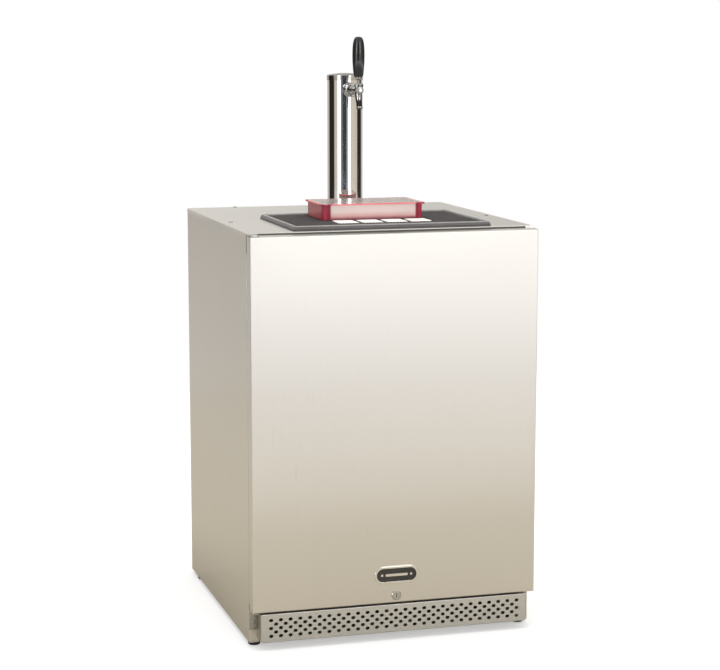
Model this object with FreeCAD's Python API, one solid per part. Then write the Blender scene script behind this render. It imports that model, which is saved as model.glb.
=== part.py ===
"""Kegerator: an insulated stainless-steel keg refrigerator with one draft tower on its top.

The cabinet stands on four levelling feet. A full-height door hangs on two corner hinges on its left.
On the top stand a chrome column with one tap, a rubber bar mat and a lift-off drip tray.
Inside are the keg bay, a cold-air unit on the back wall, a gas cylinder with its regulator, and the
keg coupler hung on the left wall. The compressor stands in a bay of its own at the bottom rear.

Frame: millimetres, +Z up, -Y towards the person who pours, origin on the floor under the middle
of the bounding box. Each function below makes one sub-part, and each sub-part is one STEP file.
"""
import FreeCAD
import Part
import math
import os
from FreeCAD import Vector

# ---- driving dimensions -------------------------------------------------------------------------
WIDTH = 603.0            # cabinet and door width
CABINET_DEPTH = 590.0    # cabinet alone, without the door
HEIGHT = 846.0           # floor to worktop
DOOR_THICK = 30.0
DOOR_GAP = 8.0           # room for the gasket between door and cabinet
SHEET = 1.2              # stainless sheet
PROUD = 2.5              # how far the badge and the rear cover's screw heads stand proud
FLOOR_GAP = 9.0          # floor to the lower edge of the side panels
WALL = 45.0              # insulated wall

HALF_W = WIDTH / 2
DOOR_FRONT = -(CABINET_DEPTH + DOOR_THICK + DOOR_GAP) / 2
DOOR_BACK = DOOR_FRONT + DOOR_THICK
FRONT = DOOR_BACK + DOOR_GAP          # front plane of the cabinet
BACK = FRONT + CABINET_DEPTH

# side panels and top panel
SIDE_X = HALF_W - 0.5    # outer face of a side panel, half a millimetre inside the top panel
POST_W = 20.0            # front return of a side panel
SKIRT = 8.0              # turned-down edge of the top panel
TOP_UNDER = HEIGHT - SKIRT

# keg bay
BAY_X = HALF_W - WALL - 1.5
BAY_FLOOR = 105.0
BAY_CEILING = 800.0
BAY_BACK = 262.0
STEP_Y = 149.0           # front of the step over the compressor
STEP_Z = 290.0           # top of that step
LINER = 2.0
FOAM_BOTTOM = 78.0
MACHINE_FRONT = STEP_Y + LINER + 30.0
MACHINE_TOP = STEP_Z - LINER - 28.0

# door
DOOR_Z0 = 80.0
DOOR_Z1 = HEIGHT - 5.0
SKIN = 1.0
HINGE_X = -HALF_W + 10.0
HINGE_Y = (DOOR_FRONT + DOOR_BACK) / 2
HINGE_PIN_R = 4.0
BUSH_R = 6.5
BUSH_LEN = 16.0
LOCK_Z = 95.5
LOCK_PLUG_R = 6.5
LOCK_BARREL_R = 8.5
BADGE_W, BADGE_H, BADGE_Z = 94.0, 37.0, 139.0

# toe grille
GRILLE_X = 285.5
GRILLE_FRONT = DOOR_FRONT + 2.0
GRILLE_Z0, GRILLE_Z1 = 17.0, 76.0
HOLE_W, HOLE_H = 8.4, 6.4
HOLE_COLUMNS, HOLE_ROWS = 27, 5
HOLE_PITCH_X, HOLE_PITCH_Z = 20.3, 8.25

# draft tower and tap
TOWER_Y = 71.0
TOWER_R = 38.1
TOWER_WALL = 1.5
TOWER_TOP = HEIGHT + 300.7
CAP_SKIRT = 11.0
CAP_DOME = 4.3
FLANGE_R = 52.0
TOWER_BOLT_R = 45.0
CORE_R = 30.0            # hole through the insulated top
TAP_Z = HEIGHT + 270.5
TAP_Y = -34.5            # lever axis
SHANK_R = 11.0
NUT_R = 14.6
BARREL_R = 8.2
HANDLE_Z0, HANDLE_Z1 = HEIGHT + 298.0, HEIGHT + 382.5
PIVOT_Z = TAP_Z + 9.0    # ball of the lever
TRUNNION_R = 1.5         # round pins on the ball, which the lever tilts about

# bar mat and drip tray
MAT_X0, MAT_X1 = -203.5, 214.0
MAT_Y0, MAT_Y1, MAT_H = FRONT + 2.0, FRONT + 294.0, 10.0
MAT_RIM = 6.0
TRAY_Z = HEIGHT + MAT_H - 1.7
TRAY_X, TRAY_Y0, TRAY_Y1 = 111.5, FRONT + 126.5, FRONT + 264.5    # outside of the rim
TRAY_RIM = 3.5
TRAY_WALL = 2.5
TRAY_TOP = HEIGHT + 41.0
PLATE_SHEET = 1.2

# feet
FOOT_X, FOOT_Y0, FOOT_Y1 = 286.5, FRONT + 20.0, FRONT + 528.0
FOOT_R = 12.5

# gas cylinder and coupler
BOTTLE_X, BOTTLE_Y, BOTTLE_R, BOTTLE_H = -192.0, 205.0, 52.0, 300.0
COUPLER = Vector(-230.0, 20.0, 600.0)

# fits that many pieces share
SCREW_R = 2.0
SCREW_HOLE_R = 2.1
SPINDLE_R = 3.0          # shafts of the fans, the thermostat and the gas valve
SPINDLE_BORE_R = 3.06

X, Y, Z = Vector(1, 0, 0), Vector(0, 1, 0), Vector(0, 0, 1)


# ---- small helpers ------------------------------------------------------------------------------
def box(x0, x1, y0, y1, z0, z1):
    return Part.makeBox(x1 - x0, y1 - y0, z1 - z0, Vector(x0, y0, z0))


def rod(start, direction, radius, length):
    return Part.makeCylinder(radius, length, start, direction)


def tube(start, direction, outer, inner, length):
    return rod(start, direction, outer, length).cut(rod(start, direction, inner, length))


def fuse(shapes):
    first, *rest = shapes
    return first.multiFuse(rest).removeSplitter() if rest else first


def turned(profile, centre, axis=Z):
    """A solid of revolution: profile is [(radius, height), ...] about an upright axis through centre."""
    points = [Vector(r, 0, h) for r, h in profile]
    face = Part.Face(Part.makePolygon(points + points[:1]))
    solid = face.revolve(Vector(0, 0, 0), Z, 360)
    solid.Placement = FreeCAD.Placement(centre, FreeCAD.Rotation(Z, axis))
    return solid


def rounded_box(x0, x1, y0, y1, z0, z1, radius, along=Z):
    """A box whose four edges along one direction are rounded."""
    solid = box(x0, x1, y0, y1, z0, z1)
    edges = [e for e in solid.Edges if abs(e.tangentAt(e.FirstParameter).dot(along)) > 0.99]
    return solid.makeFillet(radius, edges)


def edges_where(solid, test):
    return [e for e in solid.Edges if test(e.BoundBox)]


def stadium(cx, cz, width, height, y0, y1):
    """A plate with half-round ends, upright, from y0 to y1."""
    r = height / 2 - 0.01
    return rounded_box(cx - width / 2, cx + width / 2, y0, y1, cz - height / 2, cz + height / 2, r, Y)


def pan_head_screw(at, out, length=8.0, head_r=4.0, head_h=1.8):
    """A screw whose head rests on the face at "at" and stands out along "out"."""
    head = rod(at, out, head_r, head_h)
    head = head.makeFillet(head_h * 0.45, edges_where(head, lambda b: (b.Center - at).dot(out) > 1.0))
    drive = rod(at + out * head_h * 0.5, out, 1.2, head_h)
    return fuse([head, rod(at, out * -1, SCREW_R, length)]).cut(drive)


# ---- cabinet shell ------------------------------------------------------------------------------
def side_panel(sign):
    panel = box(-SIDE_X, -SIDE_X + SHEET, FRONT, BACK - SHEET, FLOOR_GAP, TOP_UNDER - 0.3)
    post = box(-SIDE_X, -SIDE_X + POST_W, FRONT, FRONT + SHEET, FLOOR_GAP, TOP_UNDER - 0.3)
    panel = fuse([panel, post])
    corner = edges_where(panel, lambda b: b.XLength < 0.1 and b.YLength < 0.1
                         and abs(b.XMin + SIDE_X) < 0.1 and abs(b.YMin - FRONT) < 0.1)
    panel = panel.makeFillet(1.1, corner)
    for x, z in HINGE_SCREWS:
        panel = panel.cut(rod(Vector(x, FRONT - 1, z), Y, SCREW_HOLE_R, 4))
    return panel if sign < 0 else panel.mirror(Vector(), X)


def top_panel():
    outer = box(-HALF_W, HALF_W, FRONT, BACK, TOP_UNDER, HEIGHT)
    rim = edges_where(outer, lambda b: b.ZMin > HEIGHT - 0.1)
    outer = outer.makeFillet(3.5, rim)
    inner = box(-HALF_W + SHEET, HALF_W - SHEET, FRONT + SHEET, BACK - SHEET,
                TOP_UNDER - 1, HEIGHT - SHEET)
    inner = inner.makeFillet(2.3, edges_where(inner, lambda b: b.ZMin > HEIGHT - SHEET - 0.1))
    panel = outer.cut(inner).cut(rod(Vector(0, TOWER_Y, TOP_UNDER), Z, CORE_R, 20))
    for at in tower_bolts(TOP_UNDER) + TOP_SCREWS:
        panel = panel.cut(rod(Vector(at.x, at.y, TOP_UNDER), Z, SCREW_HOLE_R, 20))
    return panel


def back_panel():
    panel = box(-SIDE_X + SHEET, SIDE_X - SHEET, BACK - SHEET, BACK, FLOOR_GAP + 3, TOP_UNDER - 0.3)
    for x, z in COVER_SCREWS:
        panel = panel.cut(rod(Vector(x, BACK - 3, z), Y, SCREW_HOLE_R, 6))
    return panel.cut(box(-MACHINE_X, MACHINE_X, BACK - 2, BACK + 1, MACHINE_Z0, MACHINE_TOP - 5))


def base_pan():
    x = SIDE_X - SHEET - 0.3
    floor = box(-x, x, FRONT + SHEET + 0.3, BACK - SHEET, FLOOR_GAP + 0.5, FLOOR_GAP + 2.0)
    lips = [box(s * x - 1.5 * (s > 0), s * x + 1.5 * (s < 0), FRONT + 2, BACK - SHEET,
                FLOOR_GAP + 0.5, FLOOR_GAP + 26) for s in (-1, 1)]
    nuts = [rod(Vector(fx, fy, FLOOR_GAP + 0.5), Z, 8.0, 9.0) for fx, fy in FEET.values()]
    pan = fuse([floor] + lips + nuts)
    for fx, fy in FEET.values():
        pan = pan.cut(rod(Vector(fx, fy, 0), Z, 4.1, 40))
    return pan


def bay_solid(grow):
    """The keg bay as a solid, grown on every side but the front. It has a step at the bottom rear."""
    main = box(-BAY_X - grow, BAY_X + grow, FRONT, BAY_BACK + grow, BAY_FLOOR - grow, BAY_CEILING + grow)
    step = box(-BAY_X - grow - 1, BAY_X + grow + 1, STEP_Y + grow, BAY_BACK + grow + 1,
               BAY_FLOOR - grow - 1, STEP_Z - grow)
    return main.cut(step)


def inner_liner():
    liner = bay_solid(LINER).cut(bay_solid(0.0))
    liner = liner.cut(rod(Vector(0, TOWER_Y, BAY_CEILING - 1), Z, CORE_R, 5))
    ribs = [box(s * BAY_X - 3 * (s > 0), s * BAY_X + 3 * (s < 0), FRONT + 40, STEP_Y - 20, z, z + 6)
            for s in (-1, 1) for z in (330.0, 500.0, 720.0)]
    return fuse([liner] + ribs)


def cabinet_foam():
    x = SIDE_X - SHEET
    foam = box(-x, x, FRONT + SHEET, BACK - SHEET, FOAM_BOTTOM, TOP_UNDER - 0.3)
    foam = foam.cut(bay_solid(LINER))
    foam = foam.cut(box(-x - 1, x + 1, MACHINE_FRONT, BACK, FOAM_BOTTOM - 1, MACHINE_TOP))
    foam = foam.cut(rod(Vector(0, TOWER_Y, BAY_CEILING), Z, CORE_R, 80))
    frame_x, frame_z = SIDE_X - POST_W, TOP_UNDER - 1
    foam = foam.cut(box(-frame_x, frame_x, FRONT, FRONT + FRAME_T, FOAM_BOTTOM - 1, frame_z))
    for x0, z0 in HINGE_SCREWS:
        foam = foam.cut(rod(Vector(x0, FRONT, z0), Y, 2.3, 14))
    for at in tower_bolts(TOP_UNDER):
        foam = foam.cut(rod(Vector(at.x, at.y, TOP_UNDER - 12), Z, 2.3, 20))
    return foam


FRAME_T = 6.0


def front_frame():
    """The flat stainless ring round the door opening, which the magnetic gasket closes on."""
    x = SIDE_X - POST_W - 0.2
    ring = box(-x, x, FRONT, FRONT + FRAME_T, FOAM_BOTTOM, TOP_UNDER - 1.2)
    hole = rounded_box(-BAY_X - LINER - 0.2, BAY_X + LINER + 0.2, FRONT - 1, FRONT + FRAME_T + 1,
                       BAY_FLOOR - LINER - 0.2, BAY_CEILING + LINER + 0.2, 0.5, Y)
    return ring.cut(hole)


def keg_floor_plate():
    plate = rounded_box(-BAY_X + 8, BAY_X - 8, FRONT + 12, STEP_Y - 6, BAY_FLOOR, BAY_FLOOR + 2, 12)
    ribs = [box(-BAY_X + 40, BAY_X - 40, y, y + 6, BAY_FLOOR + 2, BAY_FLOOR + 4)
            for y in (-200.0, -130.0, -60.0, 10.0, 80.0)]
    return fuse([plate] + ribs)


def toe_grille():
    """Perforated kick plate: a shallow pan with a top flange, a bottom flange and two ends."""
    outer = box(-GRILLE_X, GRILLE_X, GRILLE_FRONT, FRONT - 0.2, GRILLE_Z0, GRILLE_Z1)
    low_front = edges_where(outer, lambda b: b.ZMax < GRILLE_Z0 + 0.1 and b.XLength < 0.1)
    outer = outer.makeFillet(5.0, low_front)
    upright = edges_where(outer, lambda b: b.XLength > 500 and b.YMax < GRILLE_FRONT + 0.1)
    outer = outer.makeFillet(1.4, upright)
    inner = box(-GRILLE_X + SHEET, GRILLE_X - SHEET, GRILLE_FRONT + SHEET, FRONT,
                GRILLE_Z0 + SHEET, GRILLE_Z1 - SHEET)
    inner = inner.makeFillet(3.8, edges_where(inner, lambda b: b.ZMax < GRILLE_Z0 + SHEET + 0.1
                                              and b.XLength < 0.1))
    return outer.cut(inner).cut(Part.makeCompound(grille_holes())).cut(cam_sweep())


def grille_holes():
    middle = (GRILLE_Z0 + GRILLE_Z1) / 2
    holes = []
    for row in range(HOLE_ROWS):
        odd = row % 2
        z = middle + (row - (HOLE_ROWS - 1) / 2) * HOLE_PITCH_Z
        for column in range(HOLE_COLUMNS - odd):
            x = (column + odd / 2 - (HOLE_COLUMNS - 1) / 2) * HOLE_PITCH_X
            holes.append(stadium(x, z, HOLE_W, HOLE_H, GRILLE_FRONT - 1, GRILLE_FRONT + SHEET + 1))
    return holes


# ---- hinges -------------------------------------------------------------------------------------
LEAF = 2.5
LEAF_X0 = -SIDE_X
LEAF_WIDE, LEAF_NARROW = 19.0, 14.5
HINGE_SCREWS = [(-291.0, 46.0), (-291.0, 60.0), (-291.0, 814.0), (-291.0, 828.0)]


def hinge_bracket(bottom):
    """An angle screwed to the front post. Its lying leaf carries a pin that enters the door."""
    inner_z = DOOR_Z0 - 0.5 if bottom else DOOR_Z1 + 0.5
    z0, z1 = (inner_z - LEAF, inner_z) if bottom else (inner_z, inner_z + LEAF)
    right = LEAF_X0 + (LEAF_NARROW if bottom else LEAF_WIDE)
    leaf_y = DOOR_FRONT + 2.0
    leaf = box(LEAF_X0, right, leaf_y, FRONT - 0.1, z0, z1)
    nose = edges_where(leaf, lambda b: b.ZLength > 1 and b.YMax < leaf_y + 0.1)
    leaf = leaf.makeFillet(6.0, nose)
    low, high = (36.0, DOOR_Z0 + 11.0) if bottom else (806.0, z1)
    plate = box(LEAF_X0, LEAF_X0 + LEAF_NARROW, FRONT - LEAF - 0.1, FRONT - 0.1, low, high)
    pin_z = z1 if bottom else z0 - BUSH_LEN + 2
    pin = rod(Vector(HINGE_X, HINGE_Y, pin_z), Z, HINGE_PIN_R, BUSH_LEN - 2)
    bracket = fuse([leaf, plate, pin])
    for x, z in HINGE_SCREWS:
        bracket = bracket.cut(rod(Vector(x, FRONT - 5, z), Y, SCREW_HOLE_R, 8))
    return bracket


def cabinet_screws():
    hinge = [pan_head_screw(Vector(x, FRONT - LEAF - 0.1, z), Y * -1, 10.0, 3.6) for x, z in HINGE_SCREWS]
    tower = [pan_head_screw(at, Z, 14.0, 4.2) for at in tower_bolts(HEIGHT + FLANGE_T)]
    top = [pan_head_screw(at, Z, 7.0, 4.0) for at in TOP_SCREWS]
    rear = [pan_head_screw(Vector(x, BACK + COVER_T, z), Y, 6.0, 3.8, PROUD - COVER_T)
            for x, z in COVER_SCREWS]
    return Part.makeCompound(hinge + tower + top + rear)


# ---- compressor bay -----------------------------------------------------------------------------
MACHINE_X = 270.0
MACHINE_Z0 = 20.0
COMPRESSOR = Vector(-165.0, 246.0, 0.0)
COND_FAN = Vector(25.0, 246.0, 96.0)
INLET_X, INLET_Z = 252.0, 60.0
COVER_T = 1.0
COVER_SCREWS = [(x, z) for x in (-278.0, 278.0) for z in (24.0, 258.0)]


def machine_cover():
    """Louvred rear cover over the compressor bay, with a cut-out for the mains inlet."""
    cover = rounded_box(-MACHINE_X - 14, MACHINE_X + 14, BACK, BACK + COVER_T, MACHINE_Z0 - 6,
                        MACHINE_TOP + 8, 6.0, Y)
    slots = [stadium(x, z, 70.0, 5.0, BACK - 1, BACK + PROUD + 1)
             for z in (80.0 + 14.0 * n for n in range(11)) for x in (-200.0, -100.0, 0.0, 100.0, 200.0)]
    inlet = box(INLET_X - 14, INLET_X + 14, BACK - 1, BACK + PROUD + 1, INLET_Z - 10, INLET_Z + 10)
    screws = [rod(Vector(x, BACK - 1, z), Y, SCREW_HOLE_R, 6) for x, z in COVER_SCREWS]
    return cover.cut(Part.makeCompound(slots + screws)).cut(inlet)


def mains_inlet():
    body = box(INLET_X - 13.8, INLET_X + 13.8, BACK - 22, BACK + 2, INLET_Z - 9.8, INLET_Z + 9.8)
    well = rounded_box(INLET_X - 11.5, INLET_X + 11.5, BACK - 17, BACK + 3, INLET_Z - 7.5,
                       INLET_Z + 7.5, 2.0, Y)
    pins = [box(INLET_X + dx - 1, INLET_X + dx + 1, BACK - 17, BACK - 6, INLET_Z + dz - 2, INLET_Z + dz + 2)
            for dx, dz in ((-7.0, -1.5), (0.0, 1.5), (7.0, -1.5))]
    return fuse([body.cut(well)] + pins)


def compressor():
    c = COMPRESSOR
    can = turned([(0, 34), (46, 34), (55, 44), (55, 112), (57, 112), (57, 117), (55, 117), (55, 150),
                  (46, 168), (26, 176), (0, 178)], c)
    plate = rounded_box(c.x - 82, c.x + 82, c.y - 52, c.y + 52, 27, 30, 8)
    saddle = rod(Vector(c.x, c.y, 30), Z, 38, 5)
    grommets = [tube(Vector(c.x + dx, c.y + dy, FLOOR_GAP + 2), Z, 9, 4, 16)
                for dx in (-68, 68) for dy in (-38, 38)]
    box_side = box(c.x + 50, c.x + 78, c.y - 24, c.y + 24, 70, 120)
    return Part.makeCompound([fuse([can, plate, saddle, box_side])] + grommets)


def condenser_coil():
    """A block of fins on four passes of tube, standing beside its fan."""
    x0, fins, pitch = 95.0, 20, 7.0
    plates = [box(x0 + n * pitch, x0 + n * pitch + 1, 196, 298, 30, 190) for n in range(fins)]
    length = (fins - 1) * pitch + 1 + 16
    passes = [rod(Vector(x0 - 8, y, z), X, 4.0, length) for y in (222.0, 272.0)
              for z in (55.0, 110.0, 165.0)]
    rails = [box(x0 - 8, x0 - 8 + length, 200, 294, z, z + 3) for z in (12.0 + FLOOR_GAP, 190.0)]
    feet = [box(x, x + 3, 200, 294, FLOOR_GAP + 2, 30) for x in (x0 - 8, x0 + length - 11)]
    ends = [box(x, x + 3, 200, 294, 24, 193) for x in (x0 - 8, x0 + length - 11)]
    return fuse(plates + passes + rails + feet + ends)


def condenser_fan_motor():
    f = COND_FAN
    motor = rod(Vector(f.x + 10, f.y, f.z), X, 24, 42)
    shaft = rod(Vector(f.x - 6, f.y, f.z), X, SPINDLE_R, 18)
    post = box(f.x + 24, f.x + 34, f.y - 8, f.y + 8, FLOOR_GAP + 2, f.z)
    foot = box(f.x + 12, f.x + 46, f.y - 22, f.y + 22, FLOOR_GAP + 2, FLOOR_GAP + 4)
    return fuse([motor, shaft, post, foot])


def fan_blade(centre, axis, tip, count):
    """A hub with pitched blades. It turns about axis through centre."""
    hub_r, thick = tip * 0.28, 12.0
    blades = []
    for n in range(count):
        blade = box(hub_r - 2, tip, -tip * 0.30, tip * 0.30, -0.8, 0.8)
        tips = edges_where(blade, lambda b: b.ZLength > 1 and b.XMin > tip - 0.1)
        blade = blade.makeFillet(tip * 0.18, tips)
        blade.rotate(Vector(), X, 24)
        blade.rotate(Vector(), Z, 360.0 * n / count)
        blades.append(blade)
    inside = rod(Vector(0, 0, -thick / 2), Z, tip, thick)
    hub = rod(Vector(0, 0, -thick / 2), Z, hub_r, thick)
    fan = fuse([hub] + [b.common(inside) for b in blades])
    fan = fan.cut(rod(Vector(0, 0, -thick), Z, SPINDLE_BORE_R, 2 * thick))
    fan.Placement = FreeCAD.Placement(centre, FreeCAD.Rotation(Z, axis))
    return fan


# ---- cold-air unit, control box, keg bay fittings -----------------------------------------------
EVAP_X0, EVAP_X1, EVAP_Z0, EVAP_Z1 = -105.0, 235.0, 470.0, 770.0
EVAP_Y0 = BAY_BACK - 46.0
EVAP_FAN = Vector(65.0, EVAP_Y0 + 14.0, 660.0)
EVAP_FAN_R = 50.0


def evaporator_cover():
    """Moulded cover on the back wall: a ring grille in front of the fan and return slots below."""
    outer = box(EVAP_X0, EVAP_X1, EVAP_Y0, BAY_BACK - 0.1, EVAP_Z0, EVAP_Z1)
    soft = edges_where(outer, lambda b: b.YMax < EVAP_Y0 + 0.1 or
                       (b.YLength > 10 and b.XLength < 0.1 and b.ZLength < 0.1))
    outer = outer.makeFillet(8.0, soft)
    wall = 2.5
    cover = outer.cut(box(EVAP_X0 + wall, EVAP_X1 - wall, EVAP_Y0 + wall, BAY_BACK,
                          EVAP_Z0 + wall, EVAP_Z1 - wall))
    at = Vector(EVAP_FAN.x, EVAP_Y0 - 1, EVAP_FAN.z)
    rings = [tube(at, Y, r + 5.5, r, 5) for r in (13.0, 22.0, 31.0, 40.0)]
    spokes = [box(-60, 60, -1, 6, -1.6, 1.6) for _ in range(3)]
    for n, spoke in enumerate(spokes):
        spoke.rotate(Vector(), Y, 60 * n)
        spoke.translate(Vector(at.x, at.y, at.z))
    grille = [ring.cut(Part.makeCompound(spokes)) for ring in rings]
    slots = [stadium(x, z, 44.0, 5.0, EVAP_Y0 - 1, EVAP_Y0 + 4)
             for x in (-60.0, 0.0, 65.0, 130.0, 190.0) for z in (492.0, 504.0, 516.0, 528.0)]
    return cover.cut(Part.makeCompound(grille)).cut(Part.makeCompound(slots))


def evaporator_coil():
    """Finned evaporator behind the lower half of the cover."""
    fins = [box(x, x + 1, EVAP_Y0 + 10, BAY_BACK - 4, 545, 592) for x in range(-85, 216, 12)]
    passes = [rod(Vector(-92, EVAP_Y0 + 27, z), X, 4.0, 314) for z in (556.0, 580.0)]
    return fuse(fins + passes)


def evaporator_fan_motor():
    f = EVAP_FAN
    motor = rod(Vector(f.x, f.y + 9, f.z), Y, 19, BAY_BACK - 1 - (f.y + 9))
    shaft = rod(Vector(f.x, f.y - 6, f.z), Y, SPINDLE_R, 16)
    return fuse([motor, shaft])


KNOB = Vector(190.0, FRONT + 26.0, 775.0)


def control_box():
    """Ceiling box with the thermostat and a lamp window on its underside."""
    body = box(125, 235, FRONT + 26.6, FRONT + 96, BAY_CEILING - 48, BAY_CEILING - 0.1)
    soft = edges_where(body, lambda b: b.ZMax < BAY_CEILING - 47 or (b.ZLength > 20 and b.YMin < FRONT + 30))
    body = body.makeFillet(5.0, soft)
    spindle = rod(Vector(KNOB.x, FRONT + 18, KNOB.z), Y, SPINDLE_R, 12)
    lamp = rounded_box(140, 220, FRONT + 45, FRONT + 85, BAY_CEILING - 53, BAY_CEILING - 48, 6)
    return fuse([body, spindle, lamp])


def thermostat_knob():
    knob = rod(KNOB, Y * -1, 15.0, 11.0)
    knob = knob.makeFillet(1.5, edges_where(knob, lambda b: b.YMax < KNOB.y - 10))
    grip = box(-2.4, 2.4, -16, -11, -13, 13)
    grip = grip.makeFillet(1.6, edges_where(grip, lambda b: b.YMax < -15.9))
    grip.translate(KNOB)
    bore = rod(Vector(KNOB.x, KNOB.y + 1, KNOB.z), Y * -1, SPINDLE_BORE_R, 9.0)
    return fuse([knob, grip]).cut(bore)


def co2_cylinder():
    at = Vector(BOTTLE_X, BOTTLE_Y, STEP_Z + 0.1)
    body = turned([(0, 0), (BOTTLE_R - 6, 0), (BOTTLE_R, 6), (BOTTLE_R, BOTTLE_H - 55),
                   (BOTTLE_R - 5, BOTTLE_H - 36), (BOTTLE_R - 18, BOTTLE_H - 18),
                   (18, BOTTLE_H - 6), (15, BOTTLE_H), (15, BOTTLE_H + 8), (0, BOTTLE_H + 8)], at)
    top = STEP_Z + BOTTLE_H + 8
    valve = rod(Vector(BOTTLE_X, BOTTLE_Y, top), Z, 12, 34)
    outlet = rod(Vector(BOTTLE_X, BOTTLE_Y, top + 18), Y * -1, 10.5, 26)
    stem = rod(Vector(BOTTLE_X, BOTTLE_Y, top + 34), Z, SPINDLE_R, 11)
    return fuse([body, valve, outlet, stem])


VALVE_TOP = STEP_Z + BOTTLE_H + 8 + 34 + 2


def cylinder_valve_knob():
    """Hand wheel of the gas cylinder: a disc with finger scallops round its edge."""
    at = Vector(BOTTLE_X, BOTTLE_Y, VALVE_TOP)
    wheel = rod(at, Z, 20, 13)
    wheel = wheel.makeFillet(2.0, wheel.Edges[0:1] + edges_where(wheel, lambda b: b.ZMin > VALVE_TOP + 12))
    scallops = [rod(at + Vector(23 * math.cos(a), 23 * math.sin(a), -1), Z, 5.5, 20)
                for a in (math.radians(45 * n) for n in range(8))]
    return wheel.cut(Part.makeCompound(scallops)).cut(rod(at - Z, Z, SPINDLE_BORE_R, 11.0))


REG = Vector(BOTTLE_X, BOTTLE_Y - 26.2, STEP_Z + BOTTLE_H + 8 + 18)


def regulator():
    """Gas regulator on the cylinder's outlet: nut, body, bonnet, two round gauges and an outlet."""
    nut = rod(REG, Y * -1, 14, 14)
    body = rod(REG + Vector(0, -14, 0), Y * -1, 17, 30)
    body = body.makeFillet(2.5, edges_where(body, lambda b: b.YMax < REG.y - 43))
    bonnet = turned([(0, 0), (15, 0), (15, 8), (9, 14), (9, 18), (0, 18)], REG + Vector(0, -44, 0), Y * -1)
    bonnet = bonnet.cut(rod(REG + Vector(0, -48, 0), Y * -1, 4.06, 30))
    gauges = []
    for lean in (-1, 1):
        stem_dir = Vector(0.72 * lean, 0, 0.69).normalize()
        root = REG + Vector(0, -29, 0) + stem_dir * 14
        dial = REG + Vector(0, -29, 0) + stem_dir * 42
        gauges += [rod(root, stem_dir, 5, 14), rod(dial + Vector(0, 8, 0), Y * -1, 19, 16)]
    outlet = rod(REG + Vector(0, -29, -12), Z * -1, 6, 20)
    barb = turned([(0, 0), (3.4, 0), (4.4, 2), (3.4, 8), (4.4, 10), (3.4, 16), (0, 16)],
                  REG + Vector(0, -29, -47), Z)
    return fuse([nut, body, bonnet, outlet, barb] + gauges)


def regulator_screw():
    """Pressure screw with a winged head, in the regulator's bonnet."""
    stem = rod(REG + Vector(0, -50, 0), Y * -1, 4.0, 22)
    wings = rounded_box(-13, 13, -80, -70, -2.2, 2.2, 2.0, Y)
    wings.translate(REG)
    return fuse([stem, wings])


def co2_bracket():
    """A strap with a back plate that holds the cylinder to the wall."""
    z0, z1 = STEP_Z + 170, STEP_Z + 192
    ring = tube(Vector(BOTTLE_X, BOTTLE_Y, z0), Z, BOTTLE_R + 2.2, BOTTLE_R + 0.3, z1 - z0)
    plate = box(BOTTLE_X - 40, BOTTLE_X + 40, BAY_BACK - 3, BAY_BACK - 0.1, z0 - 8, z1 + 8)
    return fuse([ring, plate])


def coupler_hook():
    """Wall clip that the coupler hangs in: a plate with a forked arm under its shoulder."""
    x, y, z = COUPLER
    plate = box(-BAY_X + 0.1, -BAY_X + 2.1, y - 16, y + 16, z + 10, z + 34)
    arm = box(-BAY_X + 0.1, x + 10, y - 20, y + 20, z + 18, z + 22)
    return fuse([plate, arm]).cut(rod(Vector(x, y, z), Z, 14.3, 40)).cut(
        box(x, x + 20, y - 14.3, y + 14.3, z, z + 40))


def keg_coupler():
    """Keg coupler body: lugged foot, barrel, beer outlet on top, gas inlet behind."""
    x, y, z = COUPLER
    body = turned([(0, 0), (20, 0), (20, 12), (14, 16), (14, 22.2), (16.5, 22.2), (16.5, 30), (14, 32),
                   (14, 52), (17, 54), (17, 62), (9, 66), (9, 74), (5, 74), (5, 92), (0, 92)], COUPLER)
    gas_inlet = rod(Vector(x, y + 10, z + 40), Y, 6.0, 26)
    ears = [box(x + s * 14.2 - 1.5, x + s * 14.2 + 1.5, y - 26, y, z + 34, z + 50) for s in (-1, 1)]
    fused = fuse([body, gas_inlet] + ears)
    cup = rod(Vector(x, y, z - 1), Z, 12, 30)
    return fused.cut(cup).cut(rod(Vector(x - 30, y - 20, z + 42), X, 2.6, 60))


def coupler_handle():
    """Pull-down handle of the coupler, on a cross pin through the two ears."""
    x, y, z = COUPLER
    pin = rod(Vector(x - 16, y - 20, z + 42), X, 2.5, 32)
    hub = rod(Vector(x - 12.4, y - 20, z + 42), X, 5.0, 24.8)
    arm = box(x - 9, x + 9, y - 78, y - 20, z + 39, z + 45)
    arm = arm.makeFillet(2.5, edges_where(arm, lambda b: b.YMax < y - 77.9))
    return fuse([pin, hub, arm])


# ---- draft tower --------------------------------------------------------------------------------
FLANGE_T = 6.0


def tower_bolts(z):
    return [Vector(TOWER_BOLT_R * math.cos(a), TOWER_Y + TOWER_BOLT_R * math.sin(a), z)
            for a in (math.radians(45 + 90 * n) for n in range(4))]


TOP_SCREWS = [Vector(x, y, HEIGHT) for x, y in
              ((-282.0, FRONT + 222), (282.0, FRONT + 222), (-194.0, BACK - 12), (194.0, BACK - 12))]


def tower_flange():
    flange = turned([(TOWER_R + 0.1, 0), (FLANGE_R, 0), (FLANGE_R, 4), (FLANGE_R - 2, FLANGE_T),
                     (TOWER_R + 2.6, FLANGE_T), (TOWER_R + 2.2, 12), (TOWER_R + 0.1, 12)],
                    Vector(0, TOWER_Y, HEIGHT))
    for at in tower_bolts(HEIGHT - 1):
        flange = flange.cut(rod(at, Z, SCREW_HOLE_R, 20))
    return flange


def tower_tube():
    column = tube(Vector(0, TOWER_Y, HEIGHT), Z, TOWER_R, TOWER_R - TOWER_WALL, TOWER_TOP - HEIGHT - 2)
    return column.cut(rod(Vector(0, 0, TAP_Z), Y, SHANK_R + 0.1, TOWER_Y))


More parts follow.
